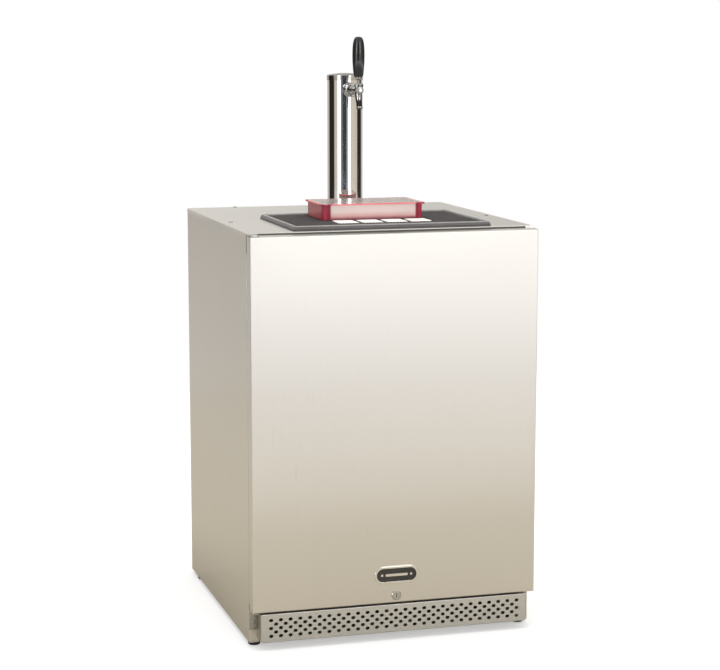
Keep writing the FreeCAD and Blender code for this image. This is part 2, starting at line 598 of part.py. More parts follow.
def tower_cap():
    """Domed push-on cap."""
    r_out, r_in, top = TOWER_R + 1.0, TOWER_R + 0.1, TOWER_TOP
    sphere_r = (r_out ** 2 + CAP_DOME ** 2) / (2 * CAP_DOME)
    skirt = rod(Vector(0, TOWER_Y, top - CAP_SKIRT), Z, r_out, CAP_SKIRT)
    ball = Part.makeSphere(sphere_r, Vector(0, TOWER_Y, top + CAP_DOME - sphere_r))
    dome = ball.common(rod(Vector(0, TOWER_Y, top), Z, r_out, CAP_DOME + 1))
    cap = fuse([skirt, dome])
    rim = edges_where(cap, lambda b: b.ZLength < 0.1 and abs(b.ZMin - top) < 0.1 and b.XLength > 60)
    cap = cap.makeFillet(0.9, rim)
    return cap.cut(rod(Vector(0, TOWER_Y, top - CAP_SKIRT - 1), Z, r_in, CAP_SKIRT - 0.8))


def tower_insulation():
    """Foam sleeve inside the column, from below the tap down into the insulated top."""
    return tube(Vector(0, TOWER_Y, BAY_CEILING + 6), Z, CORE_R - 0.2, 12.0, TAP_Z - 34 - BAY_CEILING - 6)


# ---- tap ----------------------------------------------------------------------------------------
TOWER_FACE = TOWER_Y - TOWER_R


def tap_shank():
    """Threaded shank through the column, with a dished collar outside and a bent tail inside."""
    bar = rod(Vector(0, TOWER_FACE - 14, TAP_Z), Y, SHANK_R, 14 + 46)
    collar = turned([(SHANK_R - 1, 0), (12.0, 0), (15.0, 5), (15.8, 8.5), (15.8, 12), (SHANK_R - 1, 12)],
                    Vector(0, TOWER_FACE - 11.5, TAP_Z), Y)
    column = rod(Vector(0, TOWER_Y, TAP_Z - 30), Z, TOWER_R + 0.05, 60)
    collar = collar.cut(column)
    tail = rod(Vector(0, TOWER_Y + 12, TAP_Z - 25.9), Z, 6.0, 22)
    bore = rod(Vector(0, TOWER_FACE - 15, TAP_Z), Y, 4.5, 15 + 40)
    return fuse([bar, collar, tail]).cut(bore)


def shank_nut():
    angles = [math.radians(60 * n) for n in range(7)]
    corners = [Vector(19 * math.cos(a), 0, 19 * math.sin(a)) for a in angles]
    nut = Part.Face(Part.makePolygon(corners)).extrude(Y * 7)
    nut.translate(Vector(0, TOWER_FACE + 3.2, TAP_Z))
    ring = rod(Vector(0, TOWER_FACE, TAP_Z), Y, SHANK_R + 0.1, 20)
    inside = rod(Vector(0, TOWER_Y, TAP_Z - 30), Z, TOWER_R - TOWER_WALL - 0.2, 60)
    return nut.common(inside).cut(ring)


NUT_Y1 = TOWER_FACE - 12.0
NUT_Y0 = NUT_Y1 - 15.0


def coupling_nut():
    """Round nut that holds the tap on the shank: knurl-like flutes and a stepped nose."""
    length = NUT_Y1 - NUT_Y0
    nut = turned([(11.2, 0), (12.0, 0), (13.6, 2.4), (14.2, 2.8), (NUT_R, 4), (NUT_R, length - 1.2),
                  (NUT_R - 1, length), (11.2, length)], Vector(0, NUT_Y0, TAP_Z), Y)
    flutes = [rod(Vector((NUT_R + 1.6) * math.cos(a), NUT_Y0 + 3.4, TAP_Z + (NUT_R + 1.6) * math.sin(a)),
                  Y, 2.6, length) for a in (math.radians(45 * n + 22.5) for n in range(8))]
    return nut.cut(Part.makeCompound(flutes))


def faucet_body():
    """Chrome tap body: a lying barrel, a boss for the bonnet on top and a spout that leans forward."""
    rear = TOWER_FACE - 14.1
    barrel = rod(Vector(0, TAP_Y - 13, TAP_Z), Y, BARREL_R, rear - TAP_Y + 13)
    front_edge = edges_where(barrel, lambda b: b.YMax < TAP_Y - 12.9)
    barrel = barrel.makeFillet(3.0, front_edge)
    throat = turned([(0, 0), (BARREL_R, 0), (11.0, 5), (11.0, 24), (0, 24)], Vector(0, rear - 24, TAP_Z), Y)
    boss = rod(Vector(0, TAP_Y, TAP_Z), Z, 8.0, 10.5)
    nose = rod(Vector(0, TAP_Y - 16.5, TAP_Z), Y, 5.0, 5)
    nose = nose.makeFillet(1.6, edges_where(nose, lambda b: b.YMax < TAP_Y - 16.4))
    solid = fuse([barrel, throat, boss, nose, tap_spout()])
    chamber = rod(Vector(0, TAP_Y - 9, TAP_Z), Y, 6.6, rear + 1 - TAP_Y + 9)
    well = rod(Vector(0, TAP_Y, TAP_Z), Z, 6.4, 12)
    seat_r = TRUNNION_R + 0.05
    seats = rod(Vector(-9, TAP_Y, PIVOT_Z), X, seat_r, 18)
    seats = seats.fuse(box(-9, 9, TAP_Y - seat_r, TAP_Y + seat_r, PIVOT_Z, PIVOT_Z + 4))
    return solid.cut(chamber).cut(well).cut(seats).cut(spout_bore())


SPOUT_TOP = Vector(0, TAP_Y + 3.0, TAP_Z - 4.0)
SPOUT_END = Vector(0, TAP_Y - 8.5, HEIGHT + 232.0)
SPOUT_AXIS = SPOUT_END - SPOUT_TOP
SPOUT_WALL = 2.2


def tap_spout():
    """A round tapering spout along a line that leans forward, with a bead at its lip."""
    end = SPOUT_AXIS.Length
    return turned([(0, 0), (8.3, 0), (7.6, 14), (6.3, 22), (6.1, end - 4.5), (6.9, end - 4.0),
                   (6.9, end - 1.5), (6.3, end), (0, end)], SPOUT_TOP, SPOUT_AXIS)


def spout_bore():
    """The passage inside the spout, which runs out past its lip."""
    end = SPOUT_AXIS.Length + 3
    radii = [(8.3, 0), (7.6, 14), (6.3, 22), (6.1, end)]
    return turned([(0, 0)] + [(r - SPOUT_WALL, h) for r, h in radii] + [(0, end)], SPOUT_TOP, SPOUT_AXIS)


def faucet_bonnet():
    """Slotted collar that screws over the boss and holds the lever's ball."""
    z = TAP_Z + 5.6
    ring = turned([(8.1, 0), (9.4, 0), (10.0, 1.2), (10.0, 6.6), (9.0, 8.0), (8.4, 8.8), (6.9, 8.8),
                   (5.5, 6.4), (8.1, 5.0)], Vector(0, TAP_Y, z))
    barrel = rod(Vector(0, TAP_Y - 30, TAP_Z), Y, BARREL_R + 0.15, 60)
    notches = [rod(Vector(11.4 * math.cos(a), TAP_Y + 11.4 * math.sin(a), z - 2), Z, 2.2, 8)
               for a in (math.radians(60 * n + 30) for n in range(6))]
    return ring.cut(barrel).cut(Part.makeCompound(notches))


def faucet_lever():
    """Lever with a ball and two trunnions in the bonnet, a finger below and a threaded neck above."""
    pivot = Vector(0, TAP_Y, PIVOT_Z)
    ball = Part.makeSphere(6.0, pivot)
    trunnions = rod(pivot - X * 7.8, X, TRUNNION_R, 15.6)
    finger = rod(pivot - Z * 9.0, Z, 1.6, 5)
    tip = Part.makeSphere(2.3, pivot - Z * 9.0)
    neck = rod(pivot, Z, 3.0, HANDLE_Z0 - PIVOT_Z)
    ferrule = turned([(0, 0), (5.0, 0), (6.6, 1.4), (7.6, 4.0), (7.6, 5.6), (0, 5.6)],
                     Vector(0, TAP_Y, HANDLE_Z0 - 5.6))
    return fuse([ball, trunnions, finger, tip, neck, ferrule])


def tap_handle():
    """Black barrel-shaped tap handle with eight long facets."""
    height = HANDLE_Z1 - HANDLE_Z0 - 0.2
    outline = [(0.0, 9.4), (0.03, 10.2), (0.23, 12.1), (0.51, 13.2), (0.68, 12.9), (0.85, 11.6),
               (0.93, 9.8), (0.97, 8.0), (1.0, 6.4)]
    rings = []
    for share, radius in outline:
        z = HANDLE_Z0 + 0.2 + height * share
        corners = [Vector(radius * 1.03 * math.cos(math.radians(22.5 + 45 * n)),
                          TAP_Y + radius * 1.03 * math.sin(math.radians(22.5 + 45 * n)), z) for n in range(9)]
        rings.append(Part.makePolygon(corners))
    return Part.makeLoft(rings, True, True)


def faucet_shaft():
    """Sliding shaft inside the barrel: a slotted head under the lever and a seat washer behind."""
    rear = TOWER_FACE - 16.0
    head = rod(Vector(0, TAP_Y - 7, TAP_Z), Y, 5.2, 14)
    head = head.cut(box(-6, 6, TAP_Y - 2.6, TAP_Y + 2.6, TAP_Z - 3.6, TAP_Z + 8))
    head = head.cut(box(-6, 6, TAP_Y - 8, TAP_Y + 5.5, TAP_Z + 1.5, TAP_Z + 8))
    stem = rod(Vector(0, TAP_Y + 7, TAP_Z), Y, 2.5, rear - 9 - TAP_Y - 7)
    washer = rod(Vector(0, rear - 12, TAP_Z), Y, 5.6, 3)
    return fuse([head, stem, washer])


# ---- door ---------------------------------------------------------------------------------------
LOCK_CAM_Y = DOOR_FRONT + 22.0
CAM_LEN = 24.0


def bush_seat(bottom, radius, deeper=0.5):
    """The hole for a bush in the door's lower or upper edge, a little past the door and past the bush."""
    z = DOOR_Z0 - deeper if bottom else DOOR_Z1 - BUSH_LEN - deeper
    return rod(Vector(HINGE_X, HINGE_Y, z), Z, radius, BUSH_LEN + 2 * deeper)


def cam_sweep():
    """Room that the lock's cam turns in, from lying to hanging through the door's lower edge."""
    disc = rod(Vector(0, LOCK_CAM_Y - 1.5, LOCK_Z), Y, CAM_LEN + 1.0, 6.5)
    return disc.common(box(-9, CAM_LEN + 3, DOOR_FRONT, DOOR_BACK, GRILLE_Z0, LOCK_Z + 9))


def door_skin():
    """Stainless outer pan of the door, folded back on all four sides with a short return."""
    outer = box(-HALF_W, HALF_W, DOOR_FRONT, DOOR_BACK, DOOR_Z0, DOOR_Z1)
    face_rim = edges_where(outer, lambda b: b.YMax < DOOR_FRONT + 0.1)
    outer = outer.makeFillet(2.2, face_rim)
    inner = box(-HALF_W + SKIN, HALF_W - SKIN, DOOR_FRONT + SKIN, DOOR_BACK - SKIN,
                DOOR_Z0 + SKIN, DOOR_Z1 - SKIN)
    inner = inner.makeFillet(1.2, edges_where(inner, lambda b: b.YMax < DOOR_FRONT + SKIN + 0.1))
    window = box(-HALF_W + 14, HALF_W - 14, DOOR_BACK - 2, DOOR_BACK + 1, DOOR_Z0 + 14, DOOR_Z1 - 14)
    pan = outer.cut(inner).cut(window)
    for bottom in (True, False):
        pan = pan.cut(bush_seat(bottom, BUSH_R + 0.1))
    barrel = rod(Vector(0, DOOR_FRONT - 1, LOCK_Z), Y, LOCK_BARREL_R + 0.1, 6)
    return pan.cut(barrel).cut(cam_sweep())


def door_foam():
    foam = box(-HALF_W + SKIN + 0.3, HALF_W - SKIN - 0.3, DOOR_FRONT + SKIN + 0.3, DOOR_BACK - SKIN - 0.3,
               DOOR_Z0 + SKIN + 0.3, DOOR_Z1 - SKIN - 0.3)
    foam = foam.makeFillet(2.4, edges_where(foam, lambda b: b.YMax < DOOR_FRONT + SKIN + 0.4))
    for bottom in (True, False):
        foam = foam.cut(bush_seat(bottom, BUSH_R + 0.2))
    barrel = rod(Vector(0, DOOR_FRONT, LOCK_Z), Y, LOCK_BARREL_R + 0.2, LOCK_CAM_Y - DOOR_FRONT)
    return foam.cut(barrel).cut(cam_sweep())


def door_liner():
    """Moulded inside panel of the door, raised inside the gasket."""
    flat = box(-HALF_W + 14.3, HALF_W - 14.3, DOOR_BACK - SKIN, DOOR_BACK, DOOR_Z0 + 14.3, DOOR_Z1 - 14.3)
    x, z0, z1 = BAY_X - 6, BAY_FLOOR + 8, BAY_CEILING - 8
    raised = box(-x, x, DOOR_BACK - 0.5, FRONT + 1, z0, z1)
    soft = edges_where(raised, lambda b: b.YMin > FRONT + 0.9 or b.YLength > 5)
    raised = raised.makeFillet(4.0, soft)
    hollow = box(-x + 60, x - 60, FRONT - 3, FRONT + 2, z0 + 80, z1 - 80)
    hollow = hollow.makeFillet(3.0, edges_where(hollow, lambda b: b.YLength > 1 and b.XLength < 0.1))
    return fuse([flat, raised]).cut(hollow)


def door_gasket():
    """Magnetic gasket: a square ring with a soft front, just clear of the cabinet's frame."""
    x, z0, z1, wide = 278.0, DOOR_Z0 + 5.5, 821.0, 16.0
    outer = rounded_box(-x, x, DOOR_BACK + 0.1, FRONT - 0.3, z0, z1, 6.0, Y)
    inner = rounded_box(-x + wide, x - wide, DOOR_BACK, FRONT, z0 + wide, z1 - wide, 3.0, Y)
    return outer.cut(inner)


def door_bushes():
    bushes = []
    for bottom in (True, False):
        bore_z = DOOR_Z0 - 1 if bottom else DOOR_Z1 - BUSH_LEN + 1
        bore = rod(Vector(HINGE_X, HINGE_Y, bore_z), Z, HINGE_PIN_R + 0.06, BUSH_LEN)
        bushes.append(bush_seat(bottom, BUSH_R, 0.0).cut(bore))
    return Part.makeCompound(bushes)


def door_badge():
    """Plain oval badge: a bright rim round a sunk field."""
    rim = stadium(0, BADGE_Z, BADGE_W, BADGE_H, DOOR_FRONT - PROUD, DOOR_FRONT - 0.05)
    rim = rim.makeFillet(1.2, edges_where(rim, lambda b: b.YMax < DOOR_FRONT - PROUD + 0.1))
    field = stadium(0, BADGE_Z, BADGE_W - 9, BADGE_H - 9, DOOR_FRONT - PROUD - 1, DOOR_FRONT - 1.4)
    return rim.cut(field)


def lock_barrel():
    front = DOOR_FRONT - 1.9
    bore = LOCK_PLUG_R + 0.08
    flange = turned([(bore, 0), (8.6, 0), (10.5, 1.2), (10.5, 1.85), (bore, 1.85)],
                    Vector(0, front, LOCK_Z), Y)
    length = LOCK_CAM_Y - 2.0 - DOOR_FRONT
    body = tube(Vector(0, DOOR_FRONT - 0.05, LOCK_Z), Y, LOCK_BARREL_R, bore, length)
    return fuse([flange, body])


def lock_plug():
    """Turning plug with its key slot in front and the locking cam behind."""
    front = DOOR_FRONT - 1.6
    plug = rod(Vector(0, front, LOCK_Z), Y, LOCK_PLUG_R, LOCK_CAM_Y - front)
    key = box(-0.9, 0.9, front - 1, front + 8, LOCK_Z - 4.2, LOCK_Z + 4.2)
    cam = box(0, CAM_LEN, LOCK_CAM_Y, LOCK_CAM_Y + 2.5, LOCK_Z - 6, LOCK_Z + 6)
    cam = cam.makeFillet(3.0, edges_where(cam, lambda b: b.YLength > 1 and b.XMin > CAM_LEN - 0.1))
    hub = rod(Vector(0, LOCK_CAM_Y - 0.5, LOCK_Z), Y, 7.0, 4.0)
    return fuse([plug, cam, hub]).cut(key)


# ---- mat, tray, feet ----------------------------------------------------------------------------
def bar_mat():
    """Rubber bar mat: a rim round a field that stands just below it."""
    outer = rounded_box(MAT_X0, MAT_X1, MAT_Y0, MAT_Y1, HEIGHT, HEIGHT + MAT_H, 4.0)
    well = rounded_box(MAT_X0 + MAT_RIM, MAT_X1 - MAT_RIM, MAT_Y0 + MAT_RIM, MAT_Y1 - MAT_RIM,
                       TRAY_Z - 0.3, HEIGHT + MAT_H + 1, 3.0)
    return outer.cut(well)


def drip_tray():
    """Open tray with round corners and a wide flat rim that is sunk to take the plate."""
    wall = rounded_box(-TRAY_X + TRAY_RIM, TRAY_X - TRAY_RIM, TRAY_Y0 + TRAY_RIM, TRAY_Y1 - TRAY_RIM,
                       TRAY_Z, TRAY_TOP - 1, 9.0)
    rim = rounded_box(-TRAY_X, TRAY_X, TRAY_Y0, TRAY_Y1, TRAY_TOP - 3.2, TRAY_TOP, 5.0)
    inset = TRAY_RIM + TRAY_WALL
    well = rounded_box(-TRAY_X + inset, TRAY_X - inset, TRAY_Y0 + inset, TRAY_Y1 - inset,
                       TRAY_Z + TRAY_WALL, TRAY_TOP + 1, 6.5)
    seat = rounded_box(-TRAY_X + 3, TRAY_X - 3, TRAY_Y0 + 3, TRAY_Y1 - 3,
                       TRAY_TOP - PLATE_SHEET - 0.3, TRAY_TOP + 1, 4.0)
    return fuse([wall, rim]).cut(well).cut(seat)


def drip_plate():
    """Perforated stainless plate that lies in the tray's rim."""
    z0 = TRAY_TOP - PLATE_SHEET
    plate = rounded_box(-TRAY_X + 3.4, TRAY_X - 3.4, TRAY_Y0 + 3.4, TRAY_Y1 - 3.4, z0, z0 + PLATE_SHEET, 3.6)
    holes, pitch = [], 7.0
    rows, columns = 18, 30
    for row in range(rows):
        y = (TRAY_Y0 + TRAY_Y1) / 2 + (row - (rows - 1) / 2) * pitch
        for column in range(columns - row % 2):
            x = (column + (row % 2) / 2 - (columns - 1) / 2) * pitch
            holes.append(rod(Vector(x, y, z0 - 1), Z, 2.1, 4))
    return plate.cut(Part.makeCompound(holes))


FEET = {
    "foot_front_left": (-FOOT_X, FOOT_Y0),
    "foot_front_right": (FOOT_X, FOOT_Y0),
    "foot_rear_left": (-FOOT_X, FOOT_Y1),
    "foot_rear_right": (FOOT_X, FOOT_Y1),
}


def levelling_foot(x, y):
    """Black screw-in foot: a round pad on a threaded stud."""
    pad = turned([(0, 0), (FOOT_R - 1.5, 0), (FOOT_R, 1.5), (FOOT_R, 6.5), (FOOT_R - 1.5, FLOOR_GAP - 0.3),
                  (0, FLOOR_GAP - 0.3)], Vector(x, y, 0))
    return fuse([pad, rod(Vector(x, y, FLOOR_GAP - 0.3), Z, 4.0, 26)])


# ---- export -------------------------------------------------------------------------------------
def all_parts():
    parts = {
        "side_panel_left": side_panel(-1),
        "side_panel_right": side_panel(1),
        "top_panel": top_panel(),
        "back_panel": back_panel(),
        "base_pan": base_pan(),
        "cabinet_foam": cabinet_foam(),
        "inner_liner": inner_liner(),
        "front_frame": front_frame(),
        "keg_floor_plate": keg_floor_plate(),
        "toe_grille": toe_grille(),
        "hinge_bracket_top": hinge_bracket(False),
        "hinge_bracket_bottom": hinge_bracket(True),
        "cabinet_screws": cabinet_screws(),
        "machine_cover": machine_cover(),
        "mains_inlet": mains_inlet(),
        "compressor": compressor(),
        "condenser_coil": condenser_coil(),
        "condenser_fan_motor": condenser_fan_motor(),
        "condenser_fan_blade": fan_blade(COND_FAN, X, 52.0, 5),
        "evaporator_cover": evaporator_cover(),
        "evaporator_coil": evaporator_coil(),
        "evaporator_fan_motor": evaporator_fan_motor(),
        "evaporator_fan_blade": fan_blade(EVAP_FAN, Y, 44.0, 5),
        "control_box": control_box(),
        "thermostat_knob": thermostat_knob(),
        "co2_cylinder": co2_cylinder(),
        "co2_bracket": co2_bracket(),
        "cylinder_valve_knob": cylinder_valve_knob(),
        "regulator": regulator(),
        "regulator_screw": regulator_screw(),
        "coupler_hook": coupler_hook(),
        "keg_coupler": keg_coupler(),
        "coupler_handle": coupler_handle(),
        "tower_flange": tower_flange(),
        "tower_tube": tower_tube(),
        "tower_cap": tower_cap(),
        "tower_insulation": tower_insulation(),
        "tap_shank": tap_shank(),
        "shank_nut": shank_nut(),
        "coupling_nut": coupling_nut(),
        "faucet_body": faucet_body(),
        "faucet_bonnet": faucet_bonnet(),
        "faucet_lever": faucet_lever(),
        "tap_handle": tap_handle(),
        "faucet_shaft": faucet_shaft(),
        "door_skin": door_skin(),
        "door_foam": door_foam(),
        "door_liner": door_liner(),
        "door_gasket": door_gasket(),
        "door_bushes": door_bushes(),
        "door_badge": door_badge(),
        "lock_barrel": lock_barrel(),
        "lock_plug": lock_plug(),
        "bar_mat": bar_mat(),
        "drip_tray": drip_tray(),
        "drip_plate": drip_plate(),
    }
    for name, (x, y) in FEET.items():
        parts[name] = levelling_foot(x, y)
    return parts


def main():
    os.makedirs("parts", exist_ok=True)
    for name, shape in all_parts().items():
        solids = shape.Solids
        if not solids or not shape.isValid():
            print("CHECK", name, len(solids), shape.isValid())
        if len(solids) == 1:
            shape = solids[0]
        shape.exportStep(os.path.join("parts", name + ".step"))


main()
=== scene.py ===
"""Looks of the kegerator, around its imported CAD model.

Metres, +Z up, -Y towards the person who pours.
"""
import math

import bpy
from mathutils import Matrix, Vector


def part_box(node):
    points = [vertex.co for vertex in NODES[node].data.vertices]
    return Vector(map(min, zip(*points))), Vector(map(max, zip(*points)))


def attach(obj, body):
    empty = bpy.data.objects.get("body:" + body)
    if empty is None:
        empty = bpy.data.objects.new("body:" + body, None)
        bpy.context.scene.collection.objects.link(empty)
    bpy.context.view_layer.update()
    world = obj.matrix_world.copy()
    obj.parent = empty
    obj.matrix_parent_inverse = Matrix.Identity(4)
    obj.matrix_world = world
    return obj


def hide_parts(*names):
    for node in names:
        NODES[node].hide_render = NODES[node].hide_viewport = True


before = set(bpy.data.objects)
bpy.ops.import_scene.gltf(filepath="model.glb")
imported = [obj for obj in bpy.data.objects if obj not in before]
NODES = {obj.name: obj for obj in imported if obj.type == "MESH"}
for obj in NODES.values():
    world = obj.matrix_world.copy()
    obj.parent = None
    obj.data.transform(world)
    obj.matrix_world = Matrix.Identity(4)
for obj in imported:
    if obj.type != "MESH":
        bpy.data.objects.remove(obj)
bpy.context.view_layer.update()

MM = 0.001


# ---- node helpers -------------------------------------------------------------------------------
class Nodes:
    """A short way to write node trees: add() makes a node, join() links two sockets."""

    def __init__(self, tree):
        self.tree = tree
        tree.nodes.clear()

    def add(self, kind, **settings):
        """A node with some properties and inputs set. An input's name has _ for each space."""
        node = self.tree.nodes.new(kind)
        for key, value in settings.items():
            if hasattr(node, key):
                setattr(node, key, value)
            else:
                node.inputs[key.replace("_", " ")].default_value = value
        return node

    def join(self, out, into):
        self.tree.links.new(out, into)

    def feed(self, socket, value):
        """Set a socket to a number or a colour, or link another socket to it."""
        if isinstance(value, bpy.types.NodeSocket):
            self.join(value, socket)
        else:
            socket.default_value = (*value, 1.0) if isinstance(value, tuple) else value

    def math(self, operation, *values):
        node = self.add("ShaderNodeMath", operation=operation)
        for socket, value in zip(node.inputs, values):
            self.feed(socket, value)
        return node.outputs[0]

    def ramp(self, factor, stops):
        """Colours that fade from stop to stop. A stop is (place from 0 to 1, colour)."""
        node = self.add("ShaderNodeValToRGB")
        elements = node.color_ramp.elements
        while len(elements) < len(stops):
            elements.new(1.0)
        for element, (place, colour) in zip(elements, stops):
            element.position = place
            element.color = (*colour, 1.0)
        self.join(factor, node.inputs["Fac"])
        return node.outputs["Color"]

    def mix(self, factor, a, b):
        node = self.add("ShaderNodeMix", data_type="RGBA")
        for socket, value in zip([s for s in node.inputs if s.enabled], (factor, a, b)):
            self.feed(socket, value)
        return next(s for s in node.outputs if s.enabled)

    def place(self, coordinate="Object"):
        """The x, y and z sockets of a texture coordinate."""
        split = self.add("ShaderNodeSeparateXYZ")
        self.join(self.add("ShaderNodeTexCoord").outputs[coordinate], split.inputs[0])
        return split.outputs

    def range(self, value, low, high, to_low=0.0, to_high=1.0):
        """value mapped from low..high to to_low..to_high, and held there outside."""
        node = self.add("ShaderNodeMapRange", From_Min=low, From_Max=high,
                        To_Min=to_low, To_Max=to_high)
        self.join(value, node.inputs["Value"])
        return node.outputs[0]

    def climb(self, value, start, slope):
        """0 up to start, from there up with this slope, and 1 at most."""
        height = self.math("MULTIPLY", self.math("SUBTRACT", value, start), slope)
        return self.math("MINIMUM", self.math("MAXIMUM", height, 0.0), 1.0)


def new_material(name, **shader_values):
    """A material of one Principled shader, whose uniform inputs are given with _ for a space."""
    material = bpy.data.materials.new(name)
    material.use_nodes = True
    nodes = Nodes(material.node_tree)
    shader = nodes.add("ShaderNodeBsdfPrincipled", **shader_values)
    out = nodes.add("ShaderNodeOutputMaterial")
    nodes.join(shader.outputs[0], out.inputs["Surface"])
    return material, nodes, shader


EVEN = (1.0, 1.0, 1.0)          # no stretch


def place_noise(nodes, stretch, scale, detail=4.0):
    """Noise over the object's own place, stretched along its axes."""
    mapping = nodes.add("ShaderNodeMapping", Scale=stretch)
    nodes.join(nodes.add("ShaderNodeTexCoord").outputs["Object"], mapping.inputs["Vector"])
    noise = nodes.add("ShaderNodeTexNoise", Scale=scale, Detail=detail, Roughness=0.6)
    nodes.join(mapping.outputs[0], noise.inputs["Vector"])
    return noise.outputs["Fac"]


def spread(nodes, value, low, high):
    """Noise, which mostly lies between 0.3 and 0.7, spread over low to high."""
    return nodes.range(value, 0.3, 0.7, low, high)


def bump(nodes, shader, height, distance, strength=1.0):
    node = nodes.add("ShaderNodeBump", Distance=distance, Strength=strength)
    nodes.join(height, node.inputs["Height"])
    nodes.join(node.outputs[0], shader.inputs["Normal"])


def tint(nodes, shader, noise, dark, light):
    """Base colour that follows noise from dark to light."""
    colour = nodes.ramp(noise, [(0.32, dark), (0.68, light)])
    nodes.join(colour, shader.inputs["Base Color"])


def scaled(colour, factor):
    return tuple(min(1.0, c * factor) for c in colour)


def stops_of(spans):
    """Ramp stops for spans of one colour: (from, to, colour)."""
    return [(place, colour) for start, end, colour in spans for place in sorted({start, end})]


# ---- kinds of material --------------------------------------------------------------------------
GRAIN_X, GRAIN_Z = 0, 2         # the axis that the brush lines run along


def brushed(name, colour, grain, roughness=0.30, anisotropy=0.7):
    """Brushed stainless sheet: fine and broad lines, and a slow drift of the gloss."""
    material, nodes, shader = new_material(name, Metallic=1.0, Anisotropic=anisotropy)
    lines = [1.0, 1.0, 1.0]
    lines[grain] = 0.01
    fine = place_noise(nodes, lines, 1600.0, 3.0)
    broad = place_noise(nodes, lines, 220.0, 5.0)
    cloud = place_noise(nodes, EVEN, 2.2, 3.0)
    both = nodes.math("ADD", nodes.math("MULTIPLY", fine, 0.65),
                      nodes.math("MULTIPLY", broad, 0.35))
    tint(nodes, shader, both, scaled(colour, 0.985), scaled(colour, 1.012))
    drift = nodes.math("MULTIPLY", nodes.math("SUBTRACT", cloud, 0.5), 0.05)
    gloss = nodes.math("ADD", spread(nodes, both, roughness - 0.025, roughness + 0.025), drift)
    nodes.join(gloss, shader.inputs["Roughness"])
    bump(nodes, shader, fine, 0.01 * MM, 0.12)
    tangent = nodes.add("ShaderNodeTangent", direction_type="RADIAL",
                        axis="Z" if grain == GRAIN_Z else "X")
    nodes.join(tangent.outputs[0], shader.inputs["Tangent"])
    return material


def polished(name, colour=(0.80, 0.79, 0.77), roughness=0.045):
    """Polished stainless, chrome or brass, with faint wiping marks."""
    material, nodes, shader = new_material(name, Metallic=1.0)
    smear = place_noise(nodes, (1.0, 1.0, 0.35), 60.0, 5.0)
    tint(nodes, shader, smear, scaled(colour, 0.97), colour)
    gloss = spread(nodes, smear, roughness * 0.7, roughness * 1.5)
    nodes.join(gloss, shader.inputs["Roughness"])
    return material


def banded_chrome(name, low, high, tones, roughness):
    """Chrome whose brightness changes with its share of the height from low to high: bands of
    painted highlight and painted reflection.
    """
    material, nodes, shader = new_material(name, Metallic=1.0, Roughness=roughness)
    share = nodes.range(nodes.place()[2], low[2], high[2])
    nodes.join(nodes.ramp(share, stops_of(tones)), shader.inputs["Base Color"])
    return material


def moulded(name, colour, roughness=0.45, grain=0.04, scale=900.0, variation=0.05, **more):
    """Moulded plastic, enamel or rubber. grain is the depth of its fine skin, in millimetres."""
    material, nodes, shader = new_material(name, **more)
    skin = place_noise(nodes, EVEN, scale, 2.0)
    cloud = place_noise(nodes, EVEN, 14.0)
    tint(nodes, shader, cloud, scaled(colour, 1 - variation), scaled(colour, 1 + variation))
    gloss = spread(nodes, cloud, roughness - 0.04, roughness + 0.05)
    nodes.join(gloss, shader.inputs["Roughness"])
    bump(nodes, shader, skin, grain * MM)
    return material


def galvanised(name):
    """Zinc-coated sheet with its crystal pattern."""
    material, nodes, shader = new_material(name, Metallic=0.85)
    cells = nodes.add("ShaderNodeTexVoronoi", feature="F1", Scale=115.0)
    nodes.join(nodes.add("ShaderNodeTexCoord").outputs["Object"], cells.inputs["Vector"])
    zinc = [(0.0, (0.45, 0.46, 0.47)), (1.0, (0.58, 0.59, 0.60))]
    grey = nodes.ramp(cells.outputs["Color"], zinc)
    nodes.join(grey, shader.inputs["Base Color"])
    nodes.join(spread(nodes, cells.outputs["Distance"], 0.38, 0.55), shader.inputs["Roughness"])
    return material


def foam(name):
    """Rigid foam: pale yellow, with small open cells."""
    material, nodes, shader = new_material(name, Roughness=0.9)
    cells = place_noise(nodes, EVEN, 420.0, 3.0)
    tint(nodes, shader, cells, (0.72, 0.62, 0.36), (0.90, 0.82, 0.56))
    bump(nodes, shader, cells, 0.6 * MM)
    return material


def copper(name):
    """Copper tube with darker, duller clouds."""
    material, nodes, shader = new_material(name, Metallic=1.0)
    cloud = place_noise(nodes, EVEN, 60.0)
    tint(nodes, shader, cloud, (0.52, 0.26, 0.16), (0.84, 0.50, 0.34))
    nodes.join(spread(nodes, cloud, 0.25, 0.42), shader.inputs["Roughness"])
    return material


# Reds of the tinted plastic. Walls go from the foot up, bends from the flat wall into the corner;
# the lighter red in a bend's middle is a painted highlight.
WALL_REDS = [(0.0, (0.20, 0.010, 0.035)), (0.08, (0.30, 0.05, 0.08)), (0.22, (0.62, 0.33, 0.32)),
             (0.55, (0.76, 0.60, 0.58)), (1.0, (0.79, 0.64, 0.62))]
BEND_REDS_WITH_HIGHLIGHT = [(0.0, (0.22, 0.007, 0.026)), (0.35, (0.27, 0.008, 0.032)), (0.62, (0.50, 0.05, 0.10)),
             (0.80, (0.34, 0.014, 0.048)), (1.0, (0.22, 0.007, 0.026))]
# The end red is painted shade on the two end walls.
CLOUD_RED, END_RED_PAINTED_SHADE, RIM_RED = (0.86, 0.74, 0.71), (0.44, 0.085, 0.085), (0.78, 0.17, 0.20)
BEND_WIDTH, END_DEPTH = 21.5 * MM, 7.0 * MM         # at the corners, and at the two ends
RIM_HEIGHT, WALL_TOP = 3.6 * MM, 3.0 * MM           # both down from the top


